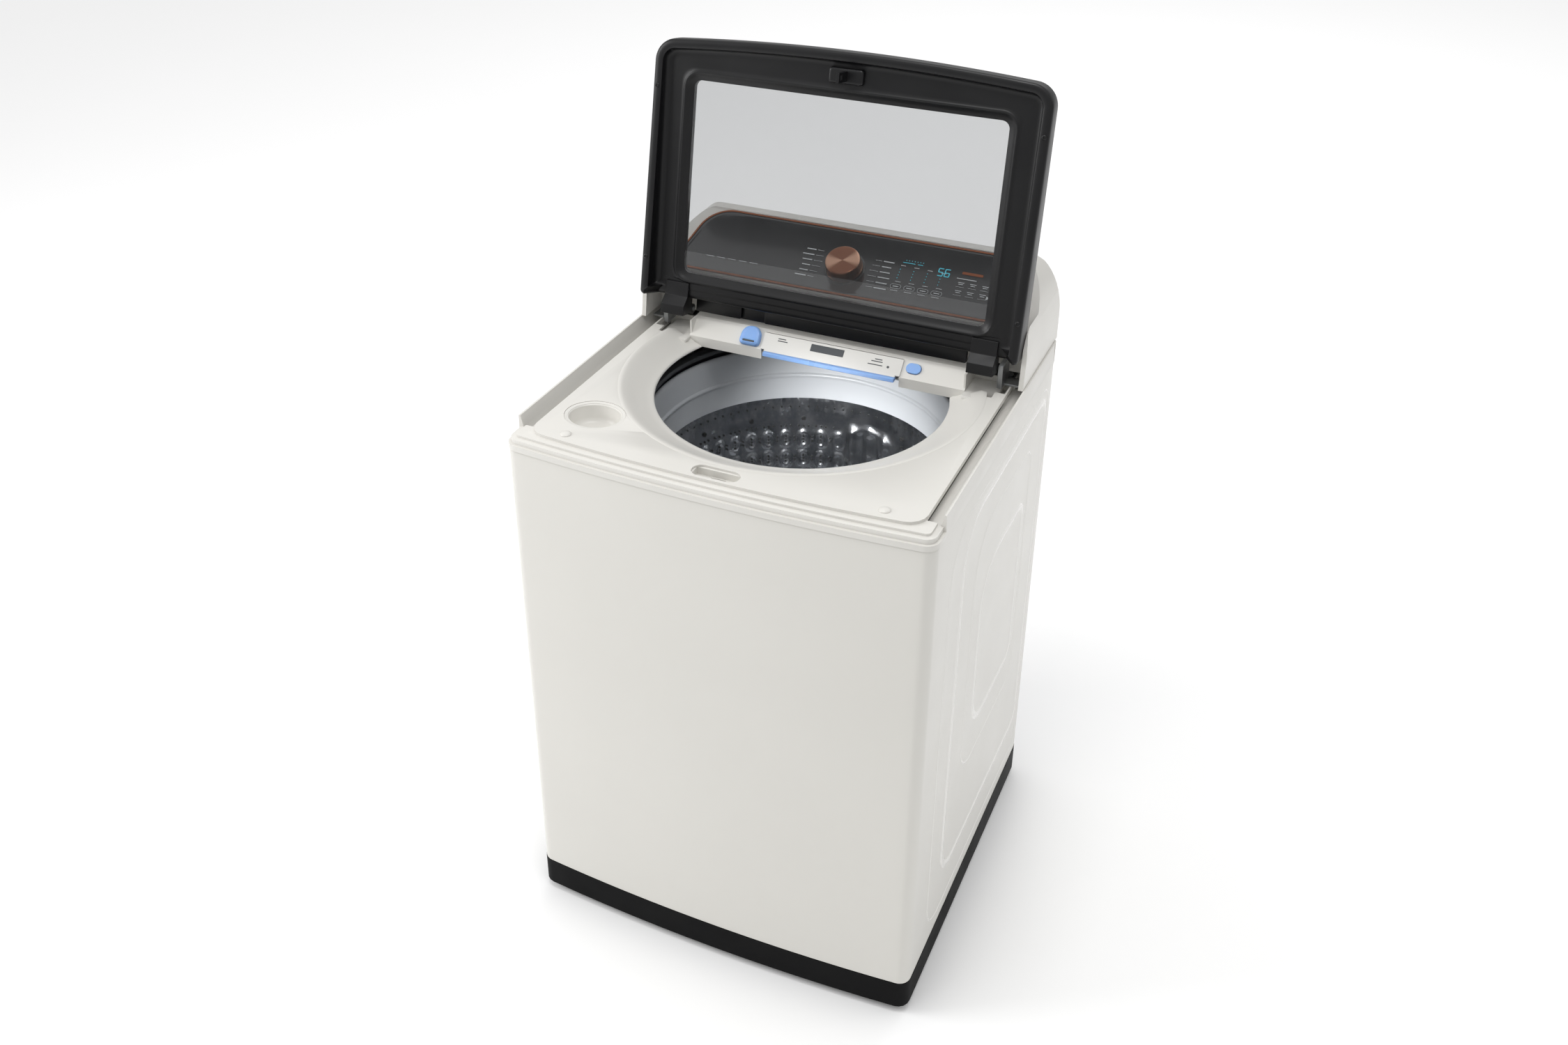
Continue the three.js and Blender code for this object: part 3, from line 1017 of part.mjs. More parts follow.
function basketHub() {
  const z1 = BASKET_FLOOR_Z - GAP;
  const hub = turned(closed([[SPIN_SHAFT_R + GAP, z1 - 26], [40, z1 - 26], [60, z1 - 8], [110, z1 - 6],
    [110, z1],
    [SPIN_SHAFT_R + GAP, z1]]), 0, TUB_Y, 24);
  let body = hub;
  for (let i = 0; i < 3; i++) {
    const arm = box(90, BASKET_R - 30, -16, 16, z1 - 6, z1).rotate([0, 0, 120 * i + 90]).translate([0,
      TUB_Y, 0]);
    body = join(body, arm);
  }
  return body;
}

function impeller() {
  const z = IMPELLER_Z;
  const disc = turned([[0, z], [IMPELLER_R, z], [IMPELLER_R, z + 5], [IMPELLER_R * 0.7, z + 9],
    [60, z + 16], [46, z + 22], [0, z + 22]]);
  let body = disc;
  for (let i = 0; i < IMPELLER_VANES; i++) {
    const vane = alongX([[-14, z + 4], [-4, z + IMPELLER_H * 0.72], [4, z + IMPELLER_H * 0.72],
      [14, z + 4]], 44, IMPELLER_R - 12);
    const slopeCut = alongY([[44, z + IMPELLER_H], [IMPELLER_R, z + 10], [IMPELLER_R, z + 60],
      [44, z + 60]], -30, 30);
    body = join(body, cut(vane, slopeCut).rotate([0, 0, (360 / IMPELLER_VANES) * i]).translate([0,
      TUB_Y, 0]));
  }
  return cut(body, rod(SHAFT_R + GAP, z - 1, z + 12, 0, TUB_Y));
}

function impellerCap() {
  const z = IMPELLER_Z + 22 + GAP;
  return turned([[0, z], [40, z], [38, z + 6], [26, z + 11], [0, z + 13]], 0, TUB_Y, 24);
}

const BEARING_TOP = TUB_FLOOR_Z - GAP;
const BEARING_BOTTOM = BEARING_TOP - 52;

function bearingHousing() {
  const bore = SPIN_SHAFT_R + SHAFT_CLEAR;
  return turned(closed([[bore, BEARING_BOTTOM], [34, BEARING_BOTTOM], [38, BEARING_TOP - 10],
    [110, BEARING_TOP - 6],
    [110, BEARING_TOP], [40, BEARING_TOP], [40, BEARING_TOP + 14], [bore, BEARING_TOP + 14]]), 0, TUB_Y, 24);
}

function spinShaft() {
  const bore = SHAFT_R + SHAFT_CLEAR;
  return turned(closed([[bore, BEARING_BOTTOM - 8], [SPIN_SHAFT_R, BEARING_BOTTOM - 8],
    [SPIN_SHAFT_R, BASKET_FLOOR_Z],
    [bore, BASKET_FLOOR_Z]]), 0, TUB_Y, 24);
}

const washShaft = () => rod(SHAFT_R, ROTOR_Z + 12, IMPELLER_Z + 11, 0, TUB_Y, 24);

function rotor() {
  const z = ROTOR_Z;
  const hubR = 30;
  return turned(closed([[SHAFT_R + GAP, z], [ROTOR_R, z], [ROTOR_R, z + ROTOR_H], [ROTOR_R - 6, z + ROTOR_H],
    [ROTOR_R - 6, z + 4], [hubR, z + 4], [hubR - 6, z + 30], [SHAFT_R + GAP, z + 30]]), 0, TUB_Y, 24);
}

function stator() {
  const z0 = ROTOR_Z + 10;
  const z1 = BEARING_BOTTOM - GAP;
  const inner = ROTOR_R - 10 - STATOR_W;
  const ring = turned(closed([[inner, z0], [ROTOR_R - 10, z0], [ROTOR_R - 10, z0 + 34],
    [inner, z0 + 34]]), 0, TUB_Y, 24);
  const flange = turned(closed([[28, z1 - 6], [inner + 2, z1 - 6], [inner + 2, z0 + 33],
    [inner + 10, z0 + 33],
    [inner + 10, z1], [28, z1]]), 0, TUB_Y, 24);
  return join(ring, flange);
}

const PUMP = { x: 150, y: TUB_Y - 120, z0: TUB_FLOOR_Z - 84 };

function drainPump() {
  const { x, y, z0 } = PUMP;
  const top = TUB_FLOOR_Z - GAP;
  const motor = rod(36, z0, z0 + 40, x, y, 24);
  const volute = rod(44, z0 + 39.5, top - 14, x, y, 24);
  const inlet = rod(20, top - 15, top, x, y, 20);
  const outlet = rodX(14, x + 30, x + 66, y, z0 + 54, 16);
  return join(motor, volute, inlet, outlet);
}

// Hose from the pump to the outlet in the back panel.
const OUTLET = { x: HALF - 80, z: 190 };
const hoseRoute = new THREE.CatmullRomCurve3([
  [PUMP.x + 69, PUMP.y, PUMP.z0 + 54], [PUMP.x + 92, PUMP.y + 2, PUMP.z0 + 54],
    [HALF - 76, PUMP.y + 50, PUMP.z0 + 50],
  [HALF - 68, TUB_Y, PUMP.z0 + 40], [HALF - 68, TUB_Y + 120, PUMP.z0 + 30],
    [HALF - 76, BACK_PANEL_Y - 70, OUTLET.z - 6],
  [OUTLET.x, BACK_PANEL_Y - 36, OUTLET.z], [OUTLET.x, BACK_PANEL_Y - SHEET - 12 - GAP, OUTLET.z],
].map((p) => new THREE.Vector3(...p)));

function drainHose() {
  const section = new THREE.Shape();
  section.absarc(0, 0, 11, 0, 2 * Math.PI, false);
  return solid(new THREE.ExtrudeGeometry(section, { steps: 26, curveSegments: 4, extrudePath: hoseRoute }));
}

function drainOutlet() {
  const flange = rodY(22, BACK_PANEL_Y + GAP, BACK_PANEL_Y + 5, OUTLET.x, OUTLET.z, 16);
  const outside = rodY(14, BACK_PANEL_Y + 4.5, BACK - 1, OUTLET.x, OUTLET.z, 16);
  const inside = rodY(13, BACK_PANEL_Y - SHEET - 12, BACK_PANEL_Y + 1, OUTLET.x, OUTLET.z, 16);
  return cut(join(flange, outside, inside), rodY(9, BACK_PANEL_Y - 40, BACK + 1, OUTLET.x, OUTLET.z, 16));
}

function suspensionRod({ x, y }) {
  const s = Math.sign(x);
  const top = SEAM_Z - 22;
  const shaft = rod(ROD_R, ROD_BOTTOM_Z, top, x, y, 12);
  const seat = rod(SPRING_R + 3, ROD_BOTTOM_Z, ROD_BOTTOM_Z + 6, x, y, 20);
  const knob = rod(10, top - 6, top + 6, x, y, 16);
  const wall = s * (HALF - SHEET - GAP);
  const hanger = box(Math.min(x, wall), Math.max(x, wall), y - 16, y + 16, top - 10, top - 6 + 0.01);
  const tab = box(Math.min(wall, wall - s * 3), Math.max(wall, wall - s * 3),
    y - 16, y + 16, top - 30, top + 10);
  return join(shaft, seat, knob, hanger, tab);
}

function suspensionSpring({ x, y }) {
  const z0 = ROD_BOTTOM_Z + 6 + GAP;
  return turned(closed([[SPRING_R - SPRING_WALL, z0], [SPRING_R, z0], [SPRING_R, LUG_Z - GAP],
    [SPRING_R - SPRING_WALL, LUG_Z - GAP]]), x, y, 12);
}

function cordGland() {
  const [x, z] = [-HALF + 110, SEAM_Z - 60];
  const outside = rodY(14, BACK_PANEL_Y + GAP, BACK_PANEL_Y + 10, x, z, 6);
  const inside = rodY(9, BACK_PANEL_Y - SHEET - 8, BACK_PANEL_Y + 1, x, z, 20);
  return cut(join(outside, inside), rodY(4.5, BACK_PANEL_Y - 30, BACK + 1, x, z, 16));
}

// Holes that the outlet and the gland need in the back panel.
const backHoles = [rodY(13 + GAP, BACK_PANEL_Y - 10, BACK_PANEL_Y + 2, OUTLET.x, OUTLET.z),
  rodY(9 + GAP, BACK_PANEL_Y - 10, BACK_PANEL_Y + 2, -HALF + 110, SEAM_Z - 60, 20)];
group.getObjectByName('back_panel').geometry = geometryOf(cut(backPanel(), ...backHoles));

add('outer_tub', outerTub(), WHITE_PLASTIC);
add('tub_cover', tubCover(), CHARCOAL);
add('basket', basket(), STAINLESS);
add('balance_ring', balanceRing(), GREY_PLASTIC);
add('basket_hub', basketHub(), ALUMINIUM);
add('impeller', impeller(), GREY_PLASTIC);
add('impeller_cap', impellerCap(), STAINLESS);
add('bearing_housing', bearingHousing(), ALUMINIUM);
add('spin_shaft', spinShaft(), STEEL);
add('wash_shaft', washShaft(), STEEL);
add('rotor', rotor(), STEEL);
add('stator', stator(), WINDING);
add('drain_pump', drainPump(), WHITE_PLASTIC);
add('drain_hose', drainHose(), RUBBER);
add('drain_outlet', drainOutlet(), RUBBER);
add('cord_gland', cordGland(), RUBBER);
RODS.forEach((place, i) => {
  add(`suspension_rod_${i + 1}`, suspensionRod(place), STEEL);
  add(`suspension_spring_${i + 1}`, suspensionSpring(place), STEEL);
});

export default group;
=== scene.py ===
"""Top load washing machine with its lid open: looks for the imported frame.

Blender's unit is the metre, +Z is up and the front faces -Y. Sizes below are in millimetres, and MM
turns them to metres. Shapes are grids of points, worked out whole by numpy.
"""

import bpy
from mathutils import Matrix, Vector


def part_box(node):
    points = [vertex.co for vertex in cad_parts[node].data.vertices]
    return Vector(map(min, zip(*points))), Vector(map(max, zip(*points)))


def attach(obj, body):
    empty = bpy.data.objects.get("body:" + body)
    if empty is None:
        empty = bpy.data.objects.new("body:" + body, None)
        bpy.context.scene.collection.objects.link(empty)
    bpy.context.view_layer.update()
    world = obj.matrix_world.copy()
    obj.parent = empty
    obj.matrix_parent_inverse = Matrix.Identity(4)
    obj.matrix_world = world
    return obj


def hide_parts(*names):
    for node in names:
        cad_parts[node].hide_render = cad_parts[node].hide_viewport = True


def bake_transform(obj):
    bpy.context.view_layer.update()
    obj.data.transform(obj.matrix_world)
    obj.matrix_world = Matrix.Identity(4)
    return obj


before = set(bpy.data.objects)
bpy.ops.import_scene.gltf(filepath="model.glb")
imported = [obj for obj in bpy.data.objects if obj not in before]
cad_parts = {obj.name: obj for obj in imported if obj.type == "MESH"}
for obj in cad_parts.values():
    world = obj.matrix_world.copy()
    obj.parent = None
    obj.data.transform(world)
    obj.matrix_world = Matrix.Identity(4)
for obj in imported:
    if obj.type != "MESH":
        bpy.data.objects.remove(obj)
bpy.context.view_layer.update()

import math

import bmesh
import bpy
import numpy as np
from mathutils import Vector

MM = 0.001
TAU = 2 * math.pi

# ------------------------------------------------------------------ driving sizes, mm

SIDES = (("left", -1), ("right", 1))
HALF, FRONT, BACK = 350.0, -337.0, 337.0
BOW = 16.0
SEAM_Z, TRIM_TOP, PLATFORM_Z = 926.0, 68.0, 953.0
TUB_Y = 31.0
BASKET_R, BASKET_FLOOR_Z = 264.0, 275.0
RING_TOP, RING_H, RING_BORE = 885.0, 99.0, 252.8
OPENING_R = 243.8
HINGE_Y, HINGE_Z = 142.0, 985.0
LID_OPEN = math.radians(100.5)
LID_HALF, LID_FRONT, LID_BACK, LID_CORNER_R = 337.0, -331.0, 119.0, 38.0
LID_BOW = BOW * (LID_HALF / HALF) ** 2
LID_TOP, LID_RIM_Z, LID_RIM_REAR_Z, LID_FRAME_Z = 984.0, 950.0, 937.0, 964.0
GLASS_Z, GLASS_T = 970.0, 4.0
WINDOW_HALF, WINDOW_BACK, WINDOW_FRONT = 270.0, 75.0, -255.0
FASCIA_TILT = math.radians(31)
FASCIA_TOP_Y, FASCIA_TOP_Z = 297.0, 1112.0
FASCIA_LEN, FASCIA_TOP_HALF, FASCIA_BASE_HALF = 130.0, 284.0, 316.0
KNOB_X, KNOB_DOWN, KNOB_R, KNOB_H = -6.0, 78.0, 32.0, 24.0
SLOPE_Y, SLOPE_Z, SLOPE_FOOT = 132.5, 958.5, 119.0
POCKET_X, POCKET_Y, POCKET_Z = 276.0, 139.0, 943.4
DRAWER_X, DRAWER_HALF, DRAWER_UP, DRAWER_DOWN = 12.0, 119.0, 12.0, -18.5
NOZZLE_X = -137.0
CUP_X, CUP_Y, CUP_RX, CUP_RY = -250.0, -211.0, 42.0, 36.0
LATCH_Y = -292.0
CORNER_STEPS, SIDE_STEPS, FRONT_STEPS = 10, 24, 48

# ------------------------------------------------------------------ meshes


def placed(name, mesh, body):
    """Object of a finished mesh, linked to the scene; it rides on its body, if any."""
    piece = bpy.data.objects.new(name, mesh)
    bpy.context.scene.collection.objects.link(piece)
    if body:
        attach(piece, body)
    return piece


def grid_faces(rows, columns, wrap_rows):
    """Quads of a grid whose columns close round; its end rows are wrapped round, or capped."""
    index = np.arange(rows * columns).reshape(rows, columns)
    a = index if wrap_rows else index[:-1]
    b = np.roll(index, -1, 0) if wrap_rows else index[1:]
    quads = np.stack([a, np.roll(a, -1, 1), np.roll(b, -1, 1), b], -1).reshape(-1, 4)
    caps = [] if wrap_rows else [index[0][::-1].tolist(), index[-1].tolist()]
    return quads.tolist() + caps


def volume_of(points, faces):
    """Signed volume: the sum over face fans of the triple product of their corners."""
    total = 0.0
    by_size = {}
    for face in faces:
        by_size.setdefault(len(face), []).append(face)
    for size, group in by_size.items():
        corners = points[np.array(group)]
        for k in range(1, size - 1):
            total += np.einsum("ij,ij->i", corners[:, 0], np.cross(corners[:, k], corners[:, k + 1])).sum()
    return total / 6


def solid(name, body, material, grids, wrap_rows=False, sharp=35):
    """Closed solids from grids of points [row, column, xyz] in mm, with faces turned outwards.

    Columns close round, and end rows are wrapped round or capped. Edges past the sharp angle stay crisp.
    """
    vertices, faces, start = [], [], 0
    for grid in grids if isinstance(grids, list) else [grids]:
        rows, columns = grid.shape[:2]
        part = grid_faces(rows, columns, wrap_rows)
        flat = grid.reshape(-1, 3)
        if volume_of(flat - flat.mean(0), part) < 0:
            part = [face[::-1] for face in part]
        faces += [[v + start for v in face] for face in part]
        vertices.append(flat)
        start += rows * columns
    mesh = bpy.data.meshes.new(name)
    mesh.from_pydata((np.concatenate(vertices) * MM).tolist(), [], faces)
    mesh.validate()
    mesh.polygons.foreach_set("use_smooth", [True] * len(mesh.polygons))
    mesh.set_sharp_from_angle(angle=math.radians(sharp))
    mesh.materials.append(material)
    mesh.update()
    return placed(name, mesh, body)


def arc(cx, cy, r, start, end, n):
    """Points of a circle arc, ends included, angles in degrees."""
    a = np.radians(np.linspace(start, end, n))
    return np.stack([cx + r * np.cos(a), cy + r * np.sin(a)], -1)


def rounded(corners, steps=8, side_steps=1):
    """Closed outline through corners [x, y, radius], each rounded by an arc, sides cut in equal steps."""
    corners = [np.array(c, float) for c in corners]
    arcs = []
    for i, c in enumerate(corners):
        before, after = corners[i - 1][:2], corners[(i + 1) % len(corners)][:2]
        u, v = before - c[:2], after - c[:2]
        u, v = u / np.linalg.norm(u), v / np.linalg.norm(v)
        half = math.acos(float(np.clip(u @ v, -1, 1))) / 2
        r = max(c[2], 1e-3)
        centre = c[:2] + (u + v) / np.linalg.norm(u + v) * r / math.sin(half)
        p, q = c[:2] + u * r / math.tan(half) - centre, c[:2] + v * r / math.tan(half) - centre
        a0 = math.atan2(p[1], p[0])
        sweep = (math.atan2(q[1], q[0]) - a0 + math.pi) % TAU - math.pi
        a = a0 + sweep * np.linspace(0, 1, steps + 1)
        arcs.append(centre + r * np.stack([np.cos(a), np.sin(a)], -1))
    points = []
    for i, part in enumerate(arcs):
        following = arcs[(i + 1) % len(arcs)]
        points += [part, np.linspace(part[-1], following[0], side_steps + 1)[1:-1]]
    return np.concatenate(points)


def rectangle(half_x, half_y, r, cx=0, cy=0, steps=8, side_steps=1):
    """Rounded rectangle, anticlockwise."""
    x0, x1, y0, y1 = cx - half_x, cx + half_x, cy - half_y, cy + half_y
    return rounded([(x0, y0, r), (x1, y0, r), (x1, y1, r), (x0, y1, r)], steps, side_steps)


def bowed(half, back, front, bow, front_r, back_r, inset=0.0,
          corner=CORNER_STEPS, side=SIDE_STEPS, width=FRONT_STEPS):
    """Plan outline with straight sides and back and a front bowed along a circle.

    The front's circle has radius (half^2 + bow^2) / (2 bow); an inset moves every line in
    by the same amount and keeps the arc centres. Starts at the back right, goes round by the front.
    """
    radius = (half**2 + bow**2) / (2 * bow)
    arc_y = front + radius
    fr, br = max(front_r - inset, 1), max(back_r - inset, 1)
    fx = half - inset - fr
    fy = arc_y - math.sqrt((radius - inset - fr) ** 2 - fx**2)
    bx, by = half - inset - br, back - inset - br
    lean = math.degrees(math.atan2(fx, arc_y - fy))
    right_side = np.stack([np.full(side, half - inset), np.linspace(by, fy, side + 2)[1:-1]], -1)
    front_arc = arc(0, arc_y, radius - inset, 270 + lean, 270 - lean, width + 2)[1:-1]
    back_line = np.stack([np.linspace(-bx, bx, side + 2)[1:-1], np.full(side, back - inset)], -1)
    return np.concatenate([
        arc(bx, by, br, 90, 0, corner), right_side, arc(fx, fy, fr, 0, -90 + lean, corner), front_arc,
        arc(-fx, fy, fr, 270 - lean, 180, corner), right_side[::-1] * [-1, 1],
        arc(-bx, by, br, 180, 90, corner), back_line])


def levels(outlines, heights):
    """Grid whose rows are outlines at heights; a height may be a number or one value a point."""
    rows = [np.column_stack([o, np.broadcast_to(h, len(o))]) for o, h in zip(outlines, heights)]
    return np.stack(rows)


def turned(profile, n=96, x=0.0, y=TUB_Y):
    """Grid of a closed [radius, z] profile turned about the vertical through (x, y)."""
    profile = np.asarray(profile, float)
    a = np.arange(n) / n * TAU
    r, z = profile[:, 0], profile[:, 1]
    return np.stack([x + np.outer(np.cos(a), r), y + np.outer(np.sin(a), r),
                     np.broadcast_to(z, (n, len(z)))], -1)


def swept(path, section, across, up):
    """Grid of a closed section [s, t] carried along a path: point = path + s across + t up."""
    section = np.asarray(section, float)
    return path[:, None] + section[None, :, :1] * across[:, None] + section[None, :, 1:] * up[:, None]


def tube(path, r, sides=8):
    """Grid of a round tube of radius r: each ring lies in the plane square to the path there."""
    along = np.gradient(path, axis=0)
    along /= np.linalg.norm(along, axis=1)[:, None]
    guide = np.where(np.abs(along[:, 2:]) > 0.9, [[1.0, 0, 0]], [[0, 0, 1.0]])
    across = np.cross(guide, along)
    across /= np.linalg.norm(across, axis=1)[:, None]
    up = np.cross(along, across)
    a = np.arange(sides) / sides * TAU
    return swept(path, r * np.stack([np.cos(a), np.sin(a)], -1), across, up)


def opened(points):
    """Turn lid points from the closed place to the open rest place, about the hinge axis."""
    c, s = math.cos(-LID_OPEN), math.sin(-LID_OPEN)
    y, z = points[..., 1] - HINGE_Y, points[..., 2] - HINGE_Z
    return np.stack([points[..., 0], HINGE_Y + y * c - z * s, HINGE_Z + y * s + z * c], -1)


def on_fascia(points):
    """Place points drawn in the fascia's plane: x across, y up the slope from its top edge, z out."""
    c, s = math.cos(FASCIA_TILT), math.sin(FASCIA_TILT)
    y, z = points[..., 1], points[..., 2]
    return np.stack([points[..., 0], FASCIA_TOP_Y + y * c - z * s, FASCIA_TOP_Z + y * s + z * c], -1)


def on_slope(points):
    """Place points drawn about the middle of the dispenser's 45 degree wall: y up it, z out."""
    h = math.sqrt(0.5)
    y, z = points[..., 1], points[..., 2]
    return np.stack([points[..., 0], SLOPE_Y + (y - z) * h, SLOPE_Z + (y + z) * h], -1)


def eased(node, body, material, width, segments=2, angle=32):
    """Copy of a CAD node with merged points, flat faces joined and its edges rounded; it replaces the node.

    A copy with no body keeps its edges as they are, because what blends has to have its final mesh.
    """
    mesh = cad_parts[node].data.copy()
    build = bmesh.new()
    build.from_mesh(mesh)
    bmesh.ops.remove_doubles(build, verts=build.verts, dist=2e-5)
    bmesh.ops.dissolve_limit(build, angle_limit=math.radians(0.6), verts=build.verts, edges=build.edges)
    build.to_mesh(mesh)
    build.free()
    mesh.materials.clear()
    mesh.materials.append(material)
    mesh.polygons.foreach_set("material_index", [0] * len(mesh.polygons))
    mesh.polygons.foreach_set("use_smooth", [True] * len(mesh.polygons))
    mesh.set_sharp_from_angle(angle=math.radians(angle))
    piece = placed(node + "_skin", mesh, body)
    if body:
        bevel = piece.modifiers.new("edges", "BEVEL")
        bevel.width = width * MM
        bevel.segments = segments
        bevel.limit_method = "ANGLE"
        bevel.angle_limit = math.radians(angle)
        bevel.harden_normals = True
    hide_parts(node)
    return piece


# ------------------------------------------------------------------ materials


def linear(hex_colour):
    """sRGB hex to linear RGBA."""
    c = [int(hex_colour[i:i + 2], 16) / 255 for i in (0, 2, 4)]
    return [v / 12.92 if v <= 0.04045 else ((v + 0.055) / 1.055) ** 2.4 for v in c] + [1.0]


def add(tree, kind, settings=(), inputs=()):
    """Add one shader node; an input is a value or another node's output."""
    made = tree.nodes.new(kind)
    for key, value in dict(settings).items():
        setattr(made, key, value)
    for key, value in dict(inputs).items():
        if isinstance(value, bpy.types.NodeSocket):
            tree.links.new(value, made.inputs[key])
        else:
            made.inputs[key].default_value = value
    return made


def surface(name, colour, roughness, metallic=0.0, **sockets):
    """New principled material; returns it with its tree, shader and object coordinates."""
    material = bpy.data.materials.new(name)
    material.use_nodes = True
    tree = material.node_tree
    shader = tree.nodes["Principled BSDF"]
    shader.inputs["Base Color"].default_value = linear(colour)
    shader.inputs["Roughness"].default_value = roughness
    shader.inputs["Metallic"].default_value = metallic
    for key, value in sockets.items():
        shader.inputs[key.replace("_", " ")].default_value = value
    place = add(tree, "ShaderNodeTexCoord").outputs["Object"]
    return material, tree, shader, place


def grain(tree, shader, place, size_mm, height_mm, stretch=(1, 1, 1)):
    """Fine bump: noise with features of size_mm, height_mm tall."""
    scaled = add(tree, "ShaderNodeMapping", inputs={"Vector": place, "Scale": stretch}).outputs[0]
    noise = add(tree, "ShaderNodeTexNoise",
                inputs={"Vector": scaled, "Scale": 1 / (size_mm * MM), "Detail": 2.0}).outputs["Fac"]
    bump = add(tree, "ShaderNodeBump", inputs={"Height": noise, "Distance": height_mm * MM, "Strength": 1.0})
    tree.links.new(bump.outputs[0], shader.inputs["Normal"])


def mottled(tree, shader, place, size_mm, low, high):
    """Slow change of roughness between two values, from noise with patches of size_mm."""
    noise = add(tree, "ShaderNodeTexNoise",
                inputs={"Vector": place, "Scale": 1 / (size_mm * MM), "Detail": 3.0}).outputs["Fac"]
    spread = add(tree, "ShaderNodeMapRange",
                 inputs={"Value": noise, "From Min": 0.3, "From Max": 0.7, "To Min": low, "To Max": high})
    tree.links.new(spread.outputs[0], shader.inputs["Roughness"])


def shaded(tree, shader, place, size_mm, first, second):
    """Slow change of base colour between two close hex colours."""
    noise = add(tree, "ShaderNodeTexNoise",
                inputs={"Vector": place, "Scale": 1 / (size_mm * MM), "Detail": 2.0}).outputs["Fac"]
    mix = add(tree, "ShaderNodeMix", {"data_type": "RGBA"}, {0: noise, 6: linear(first), 7: linear(second)})
    tree.links.new(mix.outputs[2], shader.inputs["Base Color"])


def enamel(name="baked_enamel", first="d8d6d0", second="d3d1cb", roughness=0.32):
    """Baked enamel on steel sheet: even off-white, a soft gloss and a faint orange peel 4 mm across."""
    material, tree, shader, place = surface(name, first, roughness, IOR=1.5,
                                            Coat_Weight=0.25, Coat_Roughness=0.2)
    grain(tree, shader, place, 4, 0.02)
    mottled(tree, shader, place, 90, roughness - 0.04, roughness + 0.04)
    shaded(tree, shader, place, 300, first, second)
    return material


def moulded(name, colour, second, roughness, size_mm=1.2, height_mm=0.02, **sockets):
    """Injection moulded plastic: one colour with a hair of change, fine spark-eroded grain."""
    material, tree, shader, place = surface(name, colour, roughness, IOR=1.47, **sockets)
    grain(tree, shader, place, size_mm, height_mm)
    mottled(tree, shader, place, 70, roughness - 0.04, roughness + 0.04)
    shaded(tree, shader, place, 150, colour, second)
    return material


# The second number turns the knob's fans of painted highlight, in radians.
RING_PITCH, HIGHLIGHT_FAN_TURN = 0.8, 0.9


def spun_copper():
    """Copper-coloured aluminium turned on a lathe: rings about the knob's axis, as coarse as they need to be
    to show, and a painted highlight: two lighter fans out from the centre, painted into the colour where
    turned metal shows its streak of light."""
    material, tree, shader, place = surface("spun_copper", "a07460", 0.28, 1.0)
    centre = (KNOB_X * MM, (FASCIA_TOP_Y - KNOB_DOWN * math.cos(FASCIA_TILT)) * MM,
              (FASCIA_TOP_Z - KNOB_DOWN * math.sin(FASCIA_TILT)) * MM)
    moved = add(tree, "ShaderNodeVectorMath", {"operation": "SUBTRACT"}, {0: place, 1: centre}).outputs[0]
    flat = add(tree, "ShaderNodeVectorRotate", {"rotation_type": "X_AXIS", "invert": True},
               {"Vector": moved, "Angle": FASCIA_TILT}).outputs[0]
    level = add(tree, "ShaderNodeVectorMath", {"operation": "MULTIPLY"}, {0: flat, 1: (1, 1, 0)}).outputs[0]
    radius = add(tree, "ShaderNodeVectorMath", {"operation": "LENGTH"}, {0: level}).outputs["Value"]
    turns = add(tree, "ShaderNodeMath", {"operation": "MULTIPLY"}, {0: radius, 1: TAU / (RING_PITCH * MM)})
    rings = add(tree, "ShaderNodeMath", {"operation": "SINE"}, {0: turns.outputs[0]}).outputs[0]
    bump = add(tree, "ShaderNodeBump", inputs={"Height": rings, "Distance": 0.02 * MM, "Strength": 0.6})
    tree.links.new(bump.outputs[0], shader.inputs["Normal"])
    # Painted highlight: the base colour turns paler in two fans about the knob's centre.
    parts = add(tree, "ShaderNodeSeparateXYZ", inputs={0: flat}).outputs
    turn = add(tree, "ShaderNodeMath", {"operation": "ARCTAN2"}, {0: parts["Y"], 1: parts["X"]}).outputs[0]
    twice = add(tree, "ShaderNodeMath", {"operation": "MULTIPLY_ADD"}, {0: turn, 1: 2.0, 2: HIGHLIGHT_FAN_TURN})
    highlight_fan = add(tree, "ShaderNodeMath", {"operation": "SINE"}, {0: twice.outputs[0]}).outputs[0]
    share = add(tree, "ShaderNodeMapRange", {"interpolation_type": "SMOOTHSTEP"},
                {"Value": highlight_fan, "From Min": 0.1}).outputs[0]
    mix = add(tree, "ShaderNodeMix", {"data_type": "RGBA"},
              {0: share, 6: linear("8a5e4a"), 7: linear("d3a88f")})
    tree.links.new(mix.outputs[2], shader.inputs["Base Color"])
    return material


def copper_edge():
    """Copper-coloured metallised trim: satin, faint draw lines along it."""
    material, tree, shader, place = surface("copper_trim", "8a5237", 0.32, 1.0)
    grain(tree, shader, place, 1.5, 0.01, (0.1, 1, 1))
    return material


def gloss_panel():
    """Polished black control panel: hard coat over printed acrylic, faint moulding waviness."""
    material, tree, shader, place = surface("gloss_panel", "1a1b1e", 0.16, IOR=1.49,
                                            Coat_Weight=0.7, Coat_Roughness=0.08)
    grain(tree, shader, place, 60, 0.01)
    mottled(tree, shader, place, 60, 0.13, 0.2)
    return material


def clear_glass():
    """Tempered sheet glass, faint grey: smooth, IOR 1.5, thin enough not to tint much."""
    material, tree, shader, place = surface("tempered_glass", "cacbcc", 0.0, IOR=1.5, Transmission_Weight=1.0)
    mottled(tree, shader, place, 200, 0.0, 0.004)
    shaded(tree, shader, place, 400, "cccdce", "c8c9ca")
    return material


def stainless():
    """Cold rolled stainless steel: bright, with rolling lines round the drum about 1 mm apart."""
    material, tree, shader, place = surface("rolled_stainless", "d6d7d9", 0.2, 1.0)
    grain(tree, shader, place, 1.0, 0.01, (0.15, 0.15, 3))
    mottled(tree, shader, place, 30, 0.15, 0.29)
    shaded(tree, shader, place, 60, "d6d7d9", "b9bcc0")
    return material


